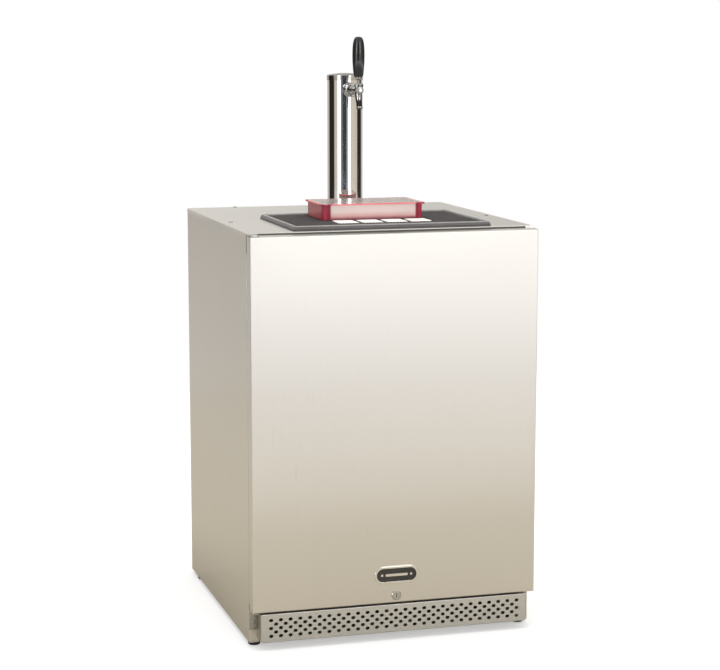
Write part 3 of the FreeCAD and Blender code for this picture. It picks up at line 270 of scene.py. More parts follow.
def red_plastic(name, low, high):
    """Tinted plastic: milky pink on its thin walls, darker red towards the foot, deep red at its
    rim and corners. The lighter middle of each corner's bend is a painted highlight, and the darker
    red end walls are painted shade.
    """
    material, nodes, shader = new_material(
        name, IOR=1.46, Roughness=0.30, Specular_IOR_Level=0.35, Subsurface_Weight=0.35,
        Subsurface_Scale=0.01, Subsurface_Radius=(1.0, 0.35, 0.35))
    place = nodes.place()
    off_middle, past_flat = [], []
    for axis in (0, 1):
        middle, half = (low[axis] + high[axis]) / 2, (high[axis] - low[axis]) / 2
        off_middle.append(nodes.math("ABSOLUTE", nodes.math("SUBTRACT", place[axis], middle)))
        past_flat.append(nodes.math("SUBTRACT", off_middle[-1], half - BEND_WIDTH))
    into_corner = nodes.math("MINIMUM", *past_flat)

    wall = nodes.ramp(nodes.range(place[2], low[2], high[2] - WALL_TOP), WALL_REDS)
    cloud = nodes.math("MULTIPLY", place_noise(nodes, EVEN, 30.0, 3.0), 0.18)
    wall = nodes.mix(cloud, wall, CLOUD_RED)
    # painted shade: the two end walls darker red
    at_end = nodes.climb(off_middle[0], (high[0] - low[0]) / 2 - END_DEPTH, 600.0)
    wall = nodes.mix(at_end, wall, END_RED_PAINTED_SHADE)
    at_rim = nodes.climb(place[2], high[2] - RIM_HEIGHT, 600.0)
    wall = nodes.mix(at_rim, wall, RIM_RED)
    # deep red corner bends, with a painted highlight down their middle
    bend_with_highlight = nodes.ramp(nodes.range(into_corner, 0.0, BEND_WIDTH), BEND_REDS_WITH_HIGHLIGHT)
    colour = nodes.mix(nodes.climb(into_corner, 0.0, 330.0), wall, bend_with_highlight)
    nodes.join(colour, shader.inputs["Base Color"])
    return material


# ---- materials ----------------------------------------------------------------------------------
STEEL = (0.73, 0.705, 0.665)
DOOR_STEEL = brushed("door_brushed_steel", STEEL, GRAIN_Z)
SIDE_STEEL = brushed("side_brushed_steel", STEEL, GRAIN_Z)
TOP_STEEL = brushed("top_brushed_steel", STEEL, GRAIN_X)
TRIM_STEEL = brushed("trim_brushed_steel", (0.66, 0.64, 0.60), GRAIN_X)
GRILLE_STEEL = brushed("grille_brushed_steel", (0.445, 0.435, 0.405), GRAIN_X)
# Painted reflection: the plate's steel is tinted pink for the red tray walls round it.
PLATE_STEEL = brushed("plate_brushed_steel", (0.80, 0.725, 0.70), GRAIN_X, 0.26)
ALLOY = brushed("satin_alloy", (0.74, 0.75, 0.76), GRAIN_Z, 0.38, 0.2)

MIRROR = polished("mirror_steel")
CHROME = polished("chrome", (0.83, 0.83, 0.83), 0.03)
# Painted reflection: the tap's chrome is far darker than the other chrome, standing in for the dark
# surroundings it mirrors.
TAP_CHROME_PAINTED_DARK = polished("tap_chrome_painted_dark", (0.40, 0.395, 0.39), 0.03)
SCREW = polished("screw_steel", (0.45, 0.44, 0.42), 0.22)
# Painted reflection: the hinges' chrome is darkened, standing in for the dark surroundings it
# mirrors.
HINGE_STEEL_PAINTED_DARK = polished("hinge_steel_painted_dark", (0.40, 0.39, 0.37), 0.16)
LOCK_STEEL = polished("lock_steel", (0.54, 0.53, 0.50), 0.14)
BADGE = polished("badge_bright", (0.80, 0.78, 0.75), 0.10)
BRASS = polished("brass_fittings", (0.80, 0.62, 0.30), 0.20)

# Painted reflections upwards over the tap's body: a dark rim, a painted highlight as a bright ring,
# a dark spout that stands in for the dark surroundings it mirrors, and the chrome body, darkened
# like the rest of the tap.
SPOUT_PAINTED_REFLECTIONS = [(0.0, 0.06, (0.03, 0.03, 0.03)), (0.09, 0.12, (0.60, 0.60, 0.59)),
               (0.15, 0.37, (0.035, 0.035, 0.034)), (0.45, 1.0, (0.42, 0.415, 0.41))]
# Upwards over the column's cap: the satin skirt, a painted highlight as a bright edge, and a dome
# painted dark as a reflection of dark surroundings.
CAP_TONES_PAINTED_LIGHT = [(0.0, 0.55, (0.52, 0.515, 0.49)), (0.60, 0.66, (0.72, 0.71, 0.69)),
             (0.72, 1.0, (0.13, 0.13, 0.125))]
# painted highlight and painted reflections in bands up the tap's body
SPOUT_CHROME_PAINTED = banded_chrome("spout_chrome_painted_reflections", *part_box("faucet_body"), SPOUT_PAINTED_REFLECTIONS, 0.05)
# painted highlight and painted reflection in bands up the column's cap
CAP_STEEL_PAINTED_LIGHT = banded_chrome("cap_steel_painted_light", *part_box("tower_cap"), CAP_TONES_PAINTED_LIGHT, 0.10)

RUBBER = moulded("black_rubber", (0.095, 0.090, 0.090), 0.40, 0.06, 700.0, 0.12)
# Painted highlight: the rim's bead is light grey rubber.
RUBBER_BEAD_PAINTED_HIGHLIGHT = moulded("rubber_bead_painted_highlight", (0.30, 0.295, 0.285), 0.32, 0.04, 700.0, 0.12)
# Painted shade: the sunk field's floor is far darker than the rim and the nubs.
RUBBER_FIELD_PAINTED_SHADE = moulded("rubber_field_painted_shade", (0.012, 0.012, 0.013), 0.60, 0.12, 700.0, 0.12)
RUBBER_NUBS = moulded("rubber_nubs", (0.044, 0.040, 0.040), 0.52, 0.04, 700.0, 0.25)
# Painted shadow: the dark grey of the strip under the worktop's front edge.
GAP_SHADE_GREY = moulded("gap_shade_grey", (0.12, 0.112, 0.10), 0.6, 0.05)
GASKET = moulded("grey_gasket", (0.20, 0.20, 0.205), 0.62, 0.05)
HANDLE = moulded("gloss_black", (0.010, 0.010, 0.011), 0.16, 0.01, 500.0, 0.2,
                 Coat_Weight=0.5, Coat_Roughness=0.06, Specular_IOR_Level=0.35)
ENAMEL = moulded("black_enamel", (0.015, 0.015, 0.016), 0.28, 0.08, 260.0, 0.2, Coat_Weight=0.4)
BLACK_PLASTIC = moulded("black_plastic", (0.022, 0.022, 0.023), 0.48, 0.08, 800.0, 0.15)
WHITE_PLASTIC = moulded("white_plastic", (0.80, 0.80, 0.79), 0.42, 0.06, 700.0, 0.03)
LINER = moulded("white_liner", (0.86, 0.87, 0.87), 0.32, 0.06, 500.0, 0.02, Coat_Weight=0.2)
NYLON = moulded("nylon", (0.78, 0.76, 0.70), 0.5)
PRINT = moulded("pale_print", (0.80, 0.77, 0.72), 0.5)
BADGE_FIELD = moulded("badge_field", (0.028, 0.024, 0.022), 0.30, 0.02, 900.0, 0.2)
DIAL_WHITE = moulded("dial_white", (0.86, 0.86, 0.84), 0.35, 0.01, 900.0, 0.02)
DIAL_RED = moulded("dial_red", (0.55, 0.03, 0.03), 0.35, 0.01)

RED = red_plastic("red_clear_plastic", *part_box("drip_tray"))
FOAM = foam("rigid_foam")
ZINC = galvanised("galvanised_sheet")
COPPER = copper("copper_tube")

LOOKS = {
    DOOR_STEEL: ["door_skin"],
    SIDE_STEEL: ["side_panel_left", "side_panel_right", "front_frame"],
    TOP_STEEL: ["top_panel"],
    TRIM_STEEL: ["keg_floor_plate"],
    GRILLE_STEEL: ["toe_grille"],
    PLATE_STEEL: ["drip_plate"],
    MIRROR: ["tower_tube", "tower_flange"],
    CAP_STEEL_PAINTED_LIGHT: ["tower_cap"],
    TAP_CHROME_PAINTED_DARK: ["tap_shank", "coupling_nut", "faucet_bonnet", "faucet_lever", "faucet_shaft"],
    SPOUT_CHROME_PAINTED: ["faucet_body"],
    CHROME: ["shank_nut", "keg_coupler", "regulator_screw"],
    HINGE_STEEL_PAINTED_DARK: ["hinge_bracket_top", "hinge_bracket_bottom"],
    LOCK_STEEL: ["lock_barrel", "lock_plug"],
    SCREW: ["cabinet_screws"],
    HANDLE: ["tap_handle", "coupler_handle"],
    BADGE: ["door_badge"],
    FOAM: ["cabinet_foam", "door_foam", "tower_insulation"],
    LINER: ["inner_liner", "door_liner"],
    GASKET: ["door_gasket"],
    ZINC: ["back_panel", "base_pan", "machine_cover"],
    ENAMEL: ["compressor", "condenser_fan_motor", "co2_bracket"],
    COPPER: ["condenser_coil"],
    ALLOY: ["evaporator_coil", "co2_cylinder", "condenser_fan_blade"],
    BLACK_PLASTIC: ["mains_inlet", "evaporator_fan_motor", "evaporator_fan_blade",
                    "thermostat_knob", "cylinder_valve_knob", "coupler_hook", "foot_front_left",
                    "foot_front_right", "foot_rear_left", "foot_rear_right"],
    WHITE_PLASTIC: ["evaporator_cover", "control_box"],
    BRASS: ["regulator"],
    NYLON: ["door_bushes"],
    RED: ["drip_tray"],
    RUBBER: ["bar_mat"],
}


def paint(thing, material):
    thing.data.materials.clear()
    thing.data.materials.append(material)


for material, names in LOOKS.items():
    for name in names:
        thing = NODES[name]
        for slot in thing.material_slots:
            slot.material = material
        if not thing.material_slots:
            thing.data.materials.append(material)


# ---- mesh helpers -------------------------------------------------------------------------------
def mesh_of(name, verts, faces):
    mesh = bpy.data.meshes.new(name)
    mesh.from_pydata(verts, [], faces)
    return mesh


def make_piece(name, mesh, body, material, smooth_angle=35.0):
    piece = bpy.data.objects.new(name, mesh)
    bpy.context.scene.collection.objects.link(piece)
    paint(piece, material)
    mesh.set_sharp_from_angle(angle=math.radians(smooth_angle))
    mesh.polygons.foreach_set("use_smooth", [True] * len(mesh.polygons))
    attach(piece, body)
    return piece


def circle(sides):
    """Cosine and sine of evenly spaced angles."""
    angles = [2 * math.pi * n / sides for n in range(sides)]
    return [(math.cos(a), math.sin(a)) for a in angles]


def rounded_outline(x0, x1, y0, y1, radius, steps=6):
    """Corner points of a rectangle with round corners, anticlockwise."""
    corners = [(x1 - radius, y1 - radius, 0), (x0 + radius, y1 - radius, 90),
               (x0 + radius, y0 + radius, 180), (x1 - radius, y0 + radius, 270)]
    points = []
    for cx, cy, start in corners:
        for n in range(steps + 1):
            a = math.radians(start + 90 * n / steps)
            points.append((cx + radius * math.cos(a), cy + radius * math.sin(a)))
    return points


def disc_outline(cx, cy, radius, steps):
    """A rounded outline that is round nearly all the way, so that no two points coincide."""
    return rounded_outline(cx - radius, cx + radius, cy - radius, cy + radius,
                           radius - 0.01 * MM, steps)


def skin_faces(levels, count, first=0):
    """Faces of a closed skin through levels of count points, the first at vertex number first."""
    faces = []
    for level in range(levels - 1):
        for n in range(count):
            a, b = first + level * count + n, first + level * count + (n + 1) % count
            faces.append((a, b, b + count, a + count))
    top = first + (levels - 1) * count
    faces.append(tuple(reversed(range(first, first + count))))
    faces.append(tuple(range(top, top + count)))
    return faces


def stacked(loops, name):
    """A skin through a stack of outlines of equal length, closed at both ends."""
    verts = [p for loop in loops for p in loop]
    return mesh_of(name, verts, skin_faces(len(loops), len(loops[0])))


def slab(name, x_span, y_span, levels):
    """A lying slab with round corners. levels are (inset, height, corner radius), bottom first.

    Heights are in metres, insets and radii in millimetres.
    """
    loops = []
    for inset, z, radius in levels:
        inset *= MM
        outline = rounded_outline(x_span[0] + inset, x_span[1] - inset,
                                  y_span[0] + inset, y_span[1] - inset, radius * MM)
        loops.append([(x, y, z) for x, y in outline])
    return stacked(loops, name)


def studs(name, profile, places, sides, rearwards=False):
    """Small turned studs in one mesh, which stand up or point rearwards.

    profile is (radius, height), both in millimetres, from the foot up.
    """
    verts, faces = [], []
    for place in places:
        faces += skin_faces(len(profile), sides, len(verts))
        for radius, height in profile:
            for c, s in circle(sides):
                u, v, w = radius * MM * c, radius * MM * s, height * MM
                offset = (u, w, -v) if rearwards else (u, v, w)
                verts.append(tuple(p + o for p, o in zip(place, offset)))
    return mesh_of(name, verts, faces)


def flat_plate(name, outline, y_back, y_front, body, slot, material):
    """An upright plate: outline is (x, z) points, anticlockwise seen from the front."""
    edge = 0.25 * MM
    cx = sum(p[0] for p in outline) / len(outline)
    cz = sum(p[1] for p in outline) / len(outline)
    half = max(abs(p[0] - cx) for p in outline)
    shrink = 1 - edge / half
    loops = [[(x, y_back, z) for x, z in outline],
             [(x, y_front + edge, z) for x, z in outline],
             [(cx + (x - cx) * shrink, y_front, cz + (z - cz) * shrink) for x, z in outline]]
    return make_piece(name, stacked(loops, name), body, material)


# ---- bar mat ------------------------------------------------------------------------------------
FIELD_DEPTH = 3.4 * MM
BEAD_HIGHLIGHT_FROM, BEAD_HIGHLIGHT_TO = 7, 12              # the rim's bead, painted light grey as a highlight, lies between these levels
NUB_PITCH, NUB_MARGIN = 7.2 * MM, 13.0 * MM
NUB_PROFILE = [(2.5, 0.0), (2.2, 1.1), (1.3, 1.7)]
PATCH_X, PATCH_Y = (-94.0 * MM, 110.0 * MM), (-214.0 * MM, -150.0 * MM)     # smooth, without nubs
BLOCKS, BLOCK_WIDTH, BLOCK_SIDE_GAP = 4, 42.0 * MM, 3 * MM
BLOCK_FRONT_GAP, BLOCK_REAR_GAP = 4 * MM, 3 * MM


def bar_mat():
    """Rubber mat: a grooved rim, and a sunk field of small nubs with a smooth patch in front."""
    low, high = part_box("bar_mat")
    field_z = high[2] - FIELD_DEPTH
    levels = [(0.3, low[2], 4.0), (0.0, low[2] + 0.4 * MM, 4.0), (0.0, low[2] + 1.8 * MM, 4.0),
              (1.2, low[2] + 2.1 * MM, 3.6), (1.2, low[2] + 2.9 * MM, 3.6),
              (0.2, low[2] + 3.3 * MM, 4.0), (2.6, high[2] - 2.3 * MM, 3.6),
              (3.4, high[2] - 2.0 * MM, 3.6), (3.5, high[2] - 0.5 * MM, 3.5),
              (4.0, high[2], 3.3), (6.6, high[2], 3.0), (7.2, high[2] - 0.5 * MM, 2.6),
              (7.8, field_z, 2.4)]
    mesh = slab("rubber_bar_mat", (low[0], high[0]), (low[1], high[1]), levels)
    mat = make_piece("rubber_bar_mat", mesh, "mat", RUBBER)
    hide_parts("bar_mat")
    mat.data.materials.append(RUBBER_FIELD_PAINTED_SHADE)
    mat.data.materials.append(RUBBER_BEAD_PAINTED_HIGHLIGHT)
    # painted shade on the field's floor
    mat.data.polygons[-1].material_index = 1
    # painted highlight on the bead
    count = len(mesh.vertices) // len(levels)
    for face in range(BEAD_HIGHLIGHT_FROM * count, BEAD_HIGHLIGHT_TO * count):
        mat.data.polygons[face].material_index = 2
    nub_field(low, high, field_z)
    mat_blocks(field_z)


def nub_field(low, high, field_z):
    """Rows of nubs in a triangular pattern, with none on the smooth patch."""
    x0, x1 = low[0] + NUB_MARGIN, high[0] - NUB_MARGIN
    y0, y1 = low[1] + NUB_MARGIN, high[1] - NUB_MARGIN
    row_pitch = NUB_PITCH * math.sin(math.radians(60))
    columns, rows = int((x1 - x0) / NUB_PITCH) + 1, int((y1 - y0) / row_pitch) + 1
    start = (low[0] + high[0]) / 2 - (columns - 1) * NUB_PITCH / 2
    places = []
    for row in range(rows):
        for column in range(columns - row % 2):
            x, y = start + (column + 0.5 * (row % 2)) * NUB_PITCH, y0 + row * row_pitch
            if not (PATCH_X[0] < x < PATCH_X[1] and PATCH_Y[0] < y < PATCH_Y[1]):
                places.append((x, y, field_z - 0.1 * MM))
    mesh = studs("bar_mat_nubs", NUB_PROFILE, places, 8)
    make_piece("bar_mat_nubs", mesh, "mat", RUBBER_NUBS, 60.0)


def mat_blocks(field_z):
    """Four plain pale blocks in a row on the mat's smooth patch."""
    pitch = (PATCH_X[1] - PATCH_X[0] - BLOCK_WIDTH - 2 * BLOCK_SIDE_GAP) / (BLOCKS - 1)
    y_span = (PATCH_Y[0] + BLOCK_FRONT_GAP, PATCH_Y[1] - BLOCK_REAR_GAP)
    foot = field_z - 0.05 * MM
    levels = [(0.0, foot, 1.6), (0.0, foot + 1.2 * MM, 1.6), (0.5, foot + 1.6 * MM, 1.6)]
    for n in range(BLOCKS):
        x0 = PATCH_X[0] + BLOCK_SIDE_GAP + n * pitch
        name = "bar_mat_block_%d" % (n + 1)
        mesh = slab(name, (x0, x0 + BLOCK_WIDTH), y_span, levels)
        make_piece(name, mesh, "mat", PRINT)


# ---- tap handle ---------------------------------------------------------------------------------
# Share of the height, share of the greatest radius, from the foot to the crown.
GRIP_PROFILE = [(0.0, 0.0), (0.0, 0.60), (0.004, 0.68), (0.018, 0.745), (0.05, 0.79), (0.11, 0.84),
                (0.22, 0.91), (0.36, 0.97), (0.50, 1.0), (0.64, 0.985), (0.76, 0.935),
                (0.85, 0.875), (0.91, 0.79), (0.95, 0.69), (0.975, 0.59), (0.992, 0.44),
                (1.0, 0.25), (1.0, 0.0)]
GRIP_SIDES = 48
GRIP_EXTRA = 0.6 * MM                   # wider than the plain CAD handle on each side
LEAST_SHARE = 0.001                     # of the radius, so that the ends stay open rings


def tap_grip():
    """Glossy barrel-shaped handle with a rounded foot and a domed crown."""
    low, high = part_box("tap_handle")
    cx, cy = (low[0] + high[0]) / 2, (low[1] + high[1]) / 2
    height, widest = high[2] - low[2], (high[0] - low[0]) / 2 + GRIP_EXTRA
    loops = []
    for share, radius in GRIP_PROFILE:
        r, z = widest * max(radius, LEAST_SHARE), low[2] + height * share
        loops.append([(cx + r * c, cy + r * s, z) for c, s in circle(GRIP_SIDES)])
    mesh = stacked(loops, "tap_grip")
    grip = make_piece("tap_grip", mesh, "tap_lever", HANDLE, 60.0)
    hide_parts("tap_handle")
    smooth = grip.modifiers.new("smooth", "SUBSURF")
    smooth.levels = smooth.render_levels = 1


# ---- badge --------------------------------------------------------------------------------------
BADGE_RIM, FIELD_SINK = 4.6 * MM, 0.8 * MM
MARK_HALF_HEIGHT, BAR_HALF_LENGTH, DOT_OFFSET = 2.6 * MM, 24 * MM, 31 * MM


def badge():
    """Dark enamel field with a plain bright bar between two dots, and no text."""
    low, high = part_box("door_badge")
    cz = (low[2] + high[2]) / 2
    field = rounded_outline(low[0] + BADGE_RIM, high[0] - BADGE_RIM,
                            low[2] + BADGE_RIM, high[2] - BADGE_RIM,
                            (high[2] - low[2]) / 2 - BADGE_RIM - 0.01 * MM, 12)
    face = low[1] + FIELD_SINK
    back, front = face + 0.1 * MM, face - 0.5 * MM
    flat_plate("badge_field", field, high[1] - 0.2 * MM, face, "door", "badge", BADGE_FIELD)
    bar = rounded_outline(-BAR_HALF_LENGTH, BAR_HALF_LENGTH, cz - MARK_HALF_HEIGHT,
                          cz + MARK_HALF_HEIGHT, 2.5 * MM, 8)
    flat_plate("badge_bar", bar, back, front, "door", "badge", BADGE)
    for side, x in (("left", -DOT_OFFSET), ("right", DOT_OFFSET)):
        dot = disc_outline(x, cz, MARK_HALF_HEIGHT, 8)
        flat_plate("badge_dot_" + side, dot, back, front, "door", "badge", BADGE)


# ---- gauges and dial ----------------------------------------------------------------------------
GAUGE_R = 19.0 * MM
GAUGE_BACK = 25.0 * MM          # from the regulator's foremost point back to the gauges' faces
BEZEL_PROFILE = [(16.4, -0.1), (18.9, -0.1), (18.9, 1.4), (18.2, 2.0), (17.0, 2.0), (16.4, 1.2)]
GAUGE_ANGLES, DIAL_ANGLES = range(-135, 136, 27), range(0, 271, 45)     # scale marks, in degrees
MARK_WIDTH = 0.9 * MM
CONTROL_FACE_BACK = 8.6 * MM    # from the control box's foremost point back to its flat front


def turned_ring(name, profile, centre, body, slot, material, sides=40):
    """A ring round the line that points forward. profile: (radius, forward), in millimetres."""
    count = len(profile)
    verts = [(centre[0] + radius * MM * c, centre[1] - forward * MM, centre[2] + radius * MM * s)
             for c, s in circle(sides) for radius, forward in profile]
    faces = []
    for n in range(sides):
        a, b = n * count, ((n + 1) % sides) * count
        for k in range(count):
            after = (k + 1) % count
            faces.append((a + k, a + after, b + after, b + k))
    return make_piece(name, mesh_of(name, verts, faces), body, material)


def clock_bar(centre, angle, start, end, width, tip_width):
    """Outline of a thin bar that points away from centre, angle degrees clockwise from up."""
    a = math.radians(angle)
    along, across = (math.sin(a), math.cos(a)), (math.cos(a), -math.sin(a))
    corners = [(start, width / 2), (end, tip_width / 2), (end, -tip_width / 2),
               (start, -width / 2)]
    return [(centre[0] + along[0] * u + across[0] * v, centre[1] + along[1] * u + across[1] * v)
            for u, v in corners]


def scale_marks(name, centre, y, angles, start, end, body, slot, material):
    """Short upright bars round a dial, joined into one piece."""
    verts, faces = [], []
    for angle in angles:
        outline = clock_bar(centre, angle, start, end, MARK_WIDTH, MARK_WIDTH)
        first = len(verts)
        verts += [(x, y + 0.1 * MM, z) for x, z in outline]
        verts += [(x, y - 0.25 * MM, z) for x, z in outline]
        faces += skin_faces(2, len(outline), first)
    make_piece(name, mesh_of(name, verts, faces), body, material)


def gauges():
    """Faces, bezels, scales, needles and hubs of the regulator's two gauges."""
    low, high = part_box("regulator")
    y, cz = low[1] + GAUGE_BACK, high[2] - GAUGE_R
    on = ("cabinet", "brass_fittings")
    for side, cx, reading in (("left", low[0] + GAUGE_R, -60), ("right", high[0] - GAUGE_R, 35)):
        face = disc_outline(cx, cz, 16.6 * MM, 12)
        flat_plate("gauge_face_" + side, face, y + 0.1 * MM, y - 0.4 * MM, *on, DIAL_WHITE)
        turned_ring("gauge_bezel_" + side, BEZEL_PROFILE, (cx, y, cz), *on, BRASS)
        scale_marks("gauge_scale_" + side, (cx, cz), y - 0.4 * MM, GAUGE_ANGLES,
                    12.2 * MM, 15.2 * MM, *on, BLACK_PLASTIC)
        needle = clock_bar((cx, cz), reading, -4.0 * MM, 12.5 * MM, 2.0 * MM, 0.5 * MM)
        flat_plate("gauge_needle_" + side, needle, y - 0.5 * MM, y - 0.9 * MM, *on, DIAL_RED)
        hub = disc_outline(cx, cz, 2.2 * MM, 5)
        flat_plate("gauge_hub_" + side, hub, y - 0.4 * MM, y - 1.3 * MM, *on, BLACK_PLASTIC)


def thermostat_dial():
    """A white pointer on the thermostat's knob and a scale of plain bars round it."""
    low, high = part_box("thermostat_knob")
    centre = ((low[0] + high[0]) / 2, (low[2] + high[2]) / 2)
    pointer = clock_bar(centre, 0.0, 3.0 * MM, 11.5 * MM, 1.6 * MM, 1.6 * MM)
    flat_plate("thermostat_pointer", pointer, low[1] + 0.2 * MM, low[1] - 0.3 * MM,
               "thermostat", "black_plastic", DIAL_WHITE)
    box_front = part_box("control_box")[0][1] + CONTROL_FACE_BACK
    scale_marks("thermostat_scale", centre, box_front, DIAL_ANGLES, 17.0 * MM, 20.5 * MM,
                "cabinet", "white_plastic", BLACK_PLASTIC)


# ---- cabinet trim -------------------------------------------------------------------------------
SIDE_RIVETS, TOP_RIVETS = 7, 5          # down each side, and along the top between the corners
RIVET_EDGE, ABOVE_COVER = 9.0 * MM, 20.0 * MM
RIVET_PROFILE = [(3.4, -0.05), (3.3, 0.5), (2.6, 1.1), (1.5, 1.4), (1.2, 1.1)]
GAP_SHADE_TOP, GAP_SHADE_BOTTOM = 2.3 * MM, 6.5 * MM          # both below the worktop's surface


def worktop_gap_shade():
    """Dark strip under the worktop's front edge: a painted shadow for the shade in the gap over the
    door.
    """
    low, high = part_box("top_panel")
    right_of_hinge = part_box("hinge_bracket_top")[1][0] + 1.0 * MM
    strip = rounded_outline(right_of_hinge, high[0] - 14.0 * MM, high[2] - GAP_SHADE_BOTTOM,
                            high[2] - GAP_SHADE_TOP, 0.4 * MM, 2)
    flat_plate("worktop_gap_shade", strip, low[1] + 0.1 * MM, low[1] - 0.9 * MM,
               "cabinet", "black_rubber", GAP_SHADE_GREY)


def rear_rivets():
    """Blind rivets that hold the rear sheet, down both its sides and along its top."""
    low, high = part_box("back_panel")
    x, y, top = high[0] - RIVET_EDGE, high[1], high[2] - RIVET_EDGE
    step = (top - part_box("machine_cover")[1][2] - ABOVE_COVER) / (SIDE_RIVETS - 1)
    places = [(side * x, y, top - n * step) for side in (-1, 1) for n in range(SIDE_RIVETS)]
    places += [(x * (2 * n / (TOP_RIVETS + 1) - 1), y, top) for n in range(1, TOP_RIVETS + 1)]
    mesh = studs("rear_rivets", RIVET_PROFILE, places, 12, rearwards=True)
    make_piece("rear_rivets", mesh, "cabinet", SCREW)


bar_mat()
tap_grip()
badge()
gauges()
thermostat_dial()
worktop_gap_shade()
rear_rivets()


# ---- floor --------------------------------------------------------------------------------------
FLOOR_SIZE = 5.2
NEAR_FLOOR_PAINTED_SHADE, FAR_FLOOR = (0.50, 0.462, 0.385), (0.63, 0.59, 0.52)    # as the steel sees it; the near colour is darker, as painted shade near the cabinet
FLOOR_PAPER, FLOOR_GLOW = (0.60, 0.60, 0.60), (0.46, 0.46, 0.46)    # as the lens sees it
NONE, WHOLE = (0.0, 0.0, 0.0), (1.0, 1.0, 1.0)


def floor():
    """White floor paper. The steel sees it darker and warmer than the lens does, and darker still
    near the cabinet, as painted shade.
    """
    bpy.ops.mesh.primitive_plane_add(size=FLOOR_SIZE, location=(0, 0, 0))
    plane = bpy.context.object
    plane.name = "studio_floor"
    material = bpy.data.materials.new("floor_paper")
    material.use_nodes = True
    nodes = Nodes(material.node_tree)
    seen = nodes.add("ShaderNodeLightPath").outputs["Is Camera Ray"]
    away = nodes.add("ShaderNodeVectorMath", operation="LENGTH")
    nodes.join(nodes.add("ShaderNodeTexCoord").outputs["Object"], away.inputs[0])
    # painted shade: darker near the cabinet, fading out with distance
    distance = nodes.range(away.outputs["Value"], 0.5, FLOOR_SIZE / 2)
    bounce = nodes.mix(distance, NEAR_FLOOR_PAINTED_SHADE, FAR_FLOOR)
    paper = nodes.add("ShaderNodeBsdfDiffuse")
    nodes.join(nodes.mix(seen, bounce, FLOOR_PAPER), paper.inputs["Color"])
    glow = nodes.add("ShaderNodeEmission")
    nodes.join(nodes.mix(seen, NONE, FLOOR_GLOW), glow.inputs["Color"])
    both = nodes.add("ShaderNodeAddShader")
    nodes.join(paper.outputs[0], both.inputs[0])
    nodes.join(glow.outputs[0], both.inputs[1])
    out = nodes.add("ShaderNodeOutputMaterial")
    nodes.join(both.outputs[0], out.inputs["Surface"])
    paint(plane, material)


# ---- surroundings -------------------------------------------------------------------------------
# Heights are the upward share of a direction: -1 straight down, 0 level, 1 straight up.
FRONT_FROM = -0.34
LEVEL_LOW, LEVEL_HIGH = -0.098, 0.012       # between them lies what the draft column mirrors
EDGE = 0.01
SKIRTING = (0.060, 0.080)
CEILING_FADE = (0.24, 0.50)

GREY, REAR = (0.60, 0.57, 0.53), (0.72, 0.69, 0.64)
CREAM, BEIGE = (0.74, 0.69, 0.61), (0.66, 0.60, 0.49)
WHITE, STRIP, CEILING = (2.4, 2.4, 2.38), (5.0, 5.0, 4.95), (0.92, 0.91, 0.89)
REAR_SIDE, REAR_MIDDLE = (0.77, 0.76, 0.72), (0.92, 0.905, 0.86)
DARK, GAP, BLUE = (0.030, 0.024, 0.022), (0.13, 0.125, 0.12), (0.045, 0.055, 0.065)

# What lies low in front, from steeply down to just under the horizon. The steel door shows it.
LOWER_FRONT = [(0.0, (0.62, 0.58, 0.52)), (0.45, (0.62, 0.58, 0.52)), (0.60, (0.54, 0.50, 0.45)),
               (0.70, (0.57, 0.53, 0.48)), (0.80, (0.84, 0.82, 0.79)), (0.90, (2.0, 2.05, 2.15)),
               (1.0, (3.3, 3.45, 3.8))]
# Cards and gaps all round: from and to, in degrees to the right of straight ahead, and brightness.
LEVEL_CARDS = [(-180, -142, GREY), (-138, -92, DARK), (-88, -88, (0.58, 0.53, 0.47)),
               (-66, -66, CREAM), (-61, -46, WHITE), (-42, -42, (0.30, 0.30, 0.31)),
               (-31, -31, (0.16, 0.17, 0.18)), (-28, -6, BLUE), (-3, 6, GREY), (8, 19, WHITE),
               (22, 22, CREAM), (70, 70, BEIGE), (74, 112, DARK), (117, 180, GREY)]
TALL_CARDS = [(-180, -180, REAR_MIDDLE), (-142, -142, GREY), (-136, -92, GAP),
              (-86, -63, (0.42, 0.40, 0.37)), (-60, -44, STRIP), (-40, -6, GAP),
              (-2, 6, (0.40, 0.40, 0.39)), (9, 23, STRIP), (27, 27, CREAM), (70, 70, BEIGE),
              (76, 112, GAP), (120, 150, (0.20, 0.20, 0.19)), (166, 166, REAR_SIDE),
              (180, 180, REAR_MIDDLE)]
LOW_CARDS = [(-180, -150, REAR), (-134, -98, GAP), (-84, 84, CREAM), (96, 124, GAP),
             (140, 180, REAR)]
REAR_SECTOR = [(-180, -150, WHOLE), (-130, 110, NONE), (130, 180, WHOLE)]
FRONT_SECTOR = [(-180, -100, NONE), (-60, 80, WHOLE), (110, 180, NONE)]


def direction_parts(nodes):
    """The direction's turn round the upright axis, 0 to 1 with 0.5 to the front, and its height."""
    x, y, up = nodes.place("Generated")
    turn = nodes.math("ARCTAN2", x, nodes.math("MULTIPLY", y, -1.0))
    return nodes.math("ADD", nodes.math("DIVIDE", turn, 2 * math.pi), 0.5), up


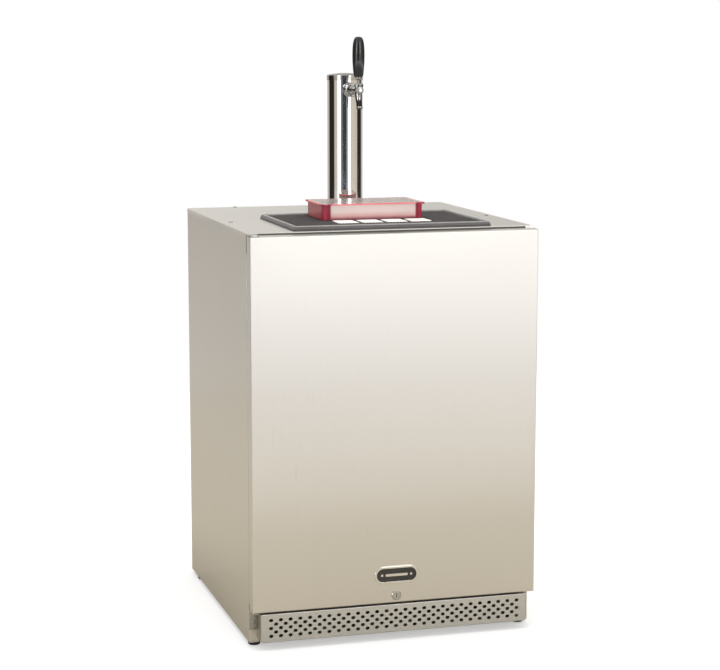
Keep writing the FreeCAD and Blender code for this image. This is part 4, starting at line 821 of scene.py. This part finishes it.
def studio_world():
    """A studio as a picture of directions: soft cards and dark gaps all round, pale overhead."""
    world = bpy.data.worlds.new("studio")
    bpy.context.scene.world = world
    world.use_nodes = True
    nodes = Nodes(world.node_tree)
    turn, up = direction_parts(nodes)

    def bands(cards):
        return nodes.ramp(turn, [((a + 180) / 360, colour) for a, colour in stops_of(cards)])

    def above(height):
        return nodes.range(up, height, height + EDGE)

    front = nodes.ramp(nodes.range(up, FRONT_FROM, LEVEL_LOW), LOWER_FRONT)
    lower = nodes.mix(bands(FRONT_SECTOR), bands(LOW_CARDS), front)
    tall = nodes.mix(nodes.range(up, *CEILING_FADE), bands(TALL_CARDS), CEILING)
    skirting = nodes.math("MULTIPLY", bands(REAR_SECTOR), nodes.range(up, *SKIRTING, 1.0, 0.0))
    tall = nodes.mix(skirting, tall, DARK)
    upper = nodes.mix(above(LEVEL_HIGH), bands(LEVEL_CARDS), tall)
    cards = nodes.mix(above(LEVEL_LOW), lower, upper)
    seen = nodes.add("ShaderNodeLightPath").outputs["Is Camera Ray"]
    background = nodes.add("ShaderNodeBackground")
    nodes.join(nodes.mix(seen, cards, WHOLE), background.inputs["Color"])
    out = nodes.add("ShaderNodeOutputWorld")
    nodes.join(background.outputs[0], out.inputs["Surface"])


# ---- light and camera ---------------------------------------------------------------------------
LAMP_PLACE, LAMP_AIM = (0.0, -0.3, 3.6), (0.0, 0.0, 0.8)
LAMP_SIDE, LAMP_POWER, LAMP_COLOUR = 1.7, 71, (1.0, 0.99, 0.97)
LENS_PLACE, LENS_LENGTH = (-1.162, -4.051, 1.232), 98.4
LENS_TURN, LENS_TILT = 16.18, 8.67      # degrees to the right of straight ahead, and downwards


def softbox():
    data = bpy.data.lights.new("top_soft", "AREA")
    data.shape = "RECTANGLE"
    data.size = data.size_y = LAMP_SIDE
    data.energy = LAMP_POWER
    data.color = LAMP_COLOUR
    lamp = bpy.data.objects.new("top_soft", data)
    bpy.context.scene.collection.objects.link(lamp)
    lamp.location = LAMP_PLACE
    aim = Vector(LAMP_AIM) - Vector(LAMP_PLACE)
    lamp.rotation_euler = aim.to_track_quat("-Z", "Y").to_euler()
    lamp.visible_glossy = False         # the steel mirrors the ceiling, not the lamp


def camera():
    data = bpy.data.cameras.new("camera")
    data.sensor_width = 36.0
    data.lens = LENS_LENGTH
    data.clip_end = 100.0
    lens = bpy.data.objects.new("camera", data)
    bpy.context.scene.collection.objects.link(lens)
    lens.location = LENS_PLACE
    lens.rotation_euler = (math.radians(90 - LENS_TILT), 0.0, math.radians(-LENS_TURN))
    bpy.context.scene.camera = lens


floor()
studio_world()
softbox()
camera()
bpy.context.scene.view_settings.view_transform = "Standard"
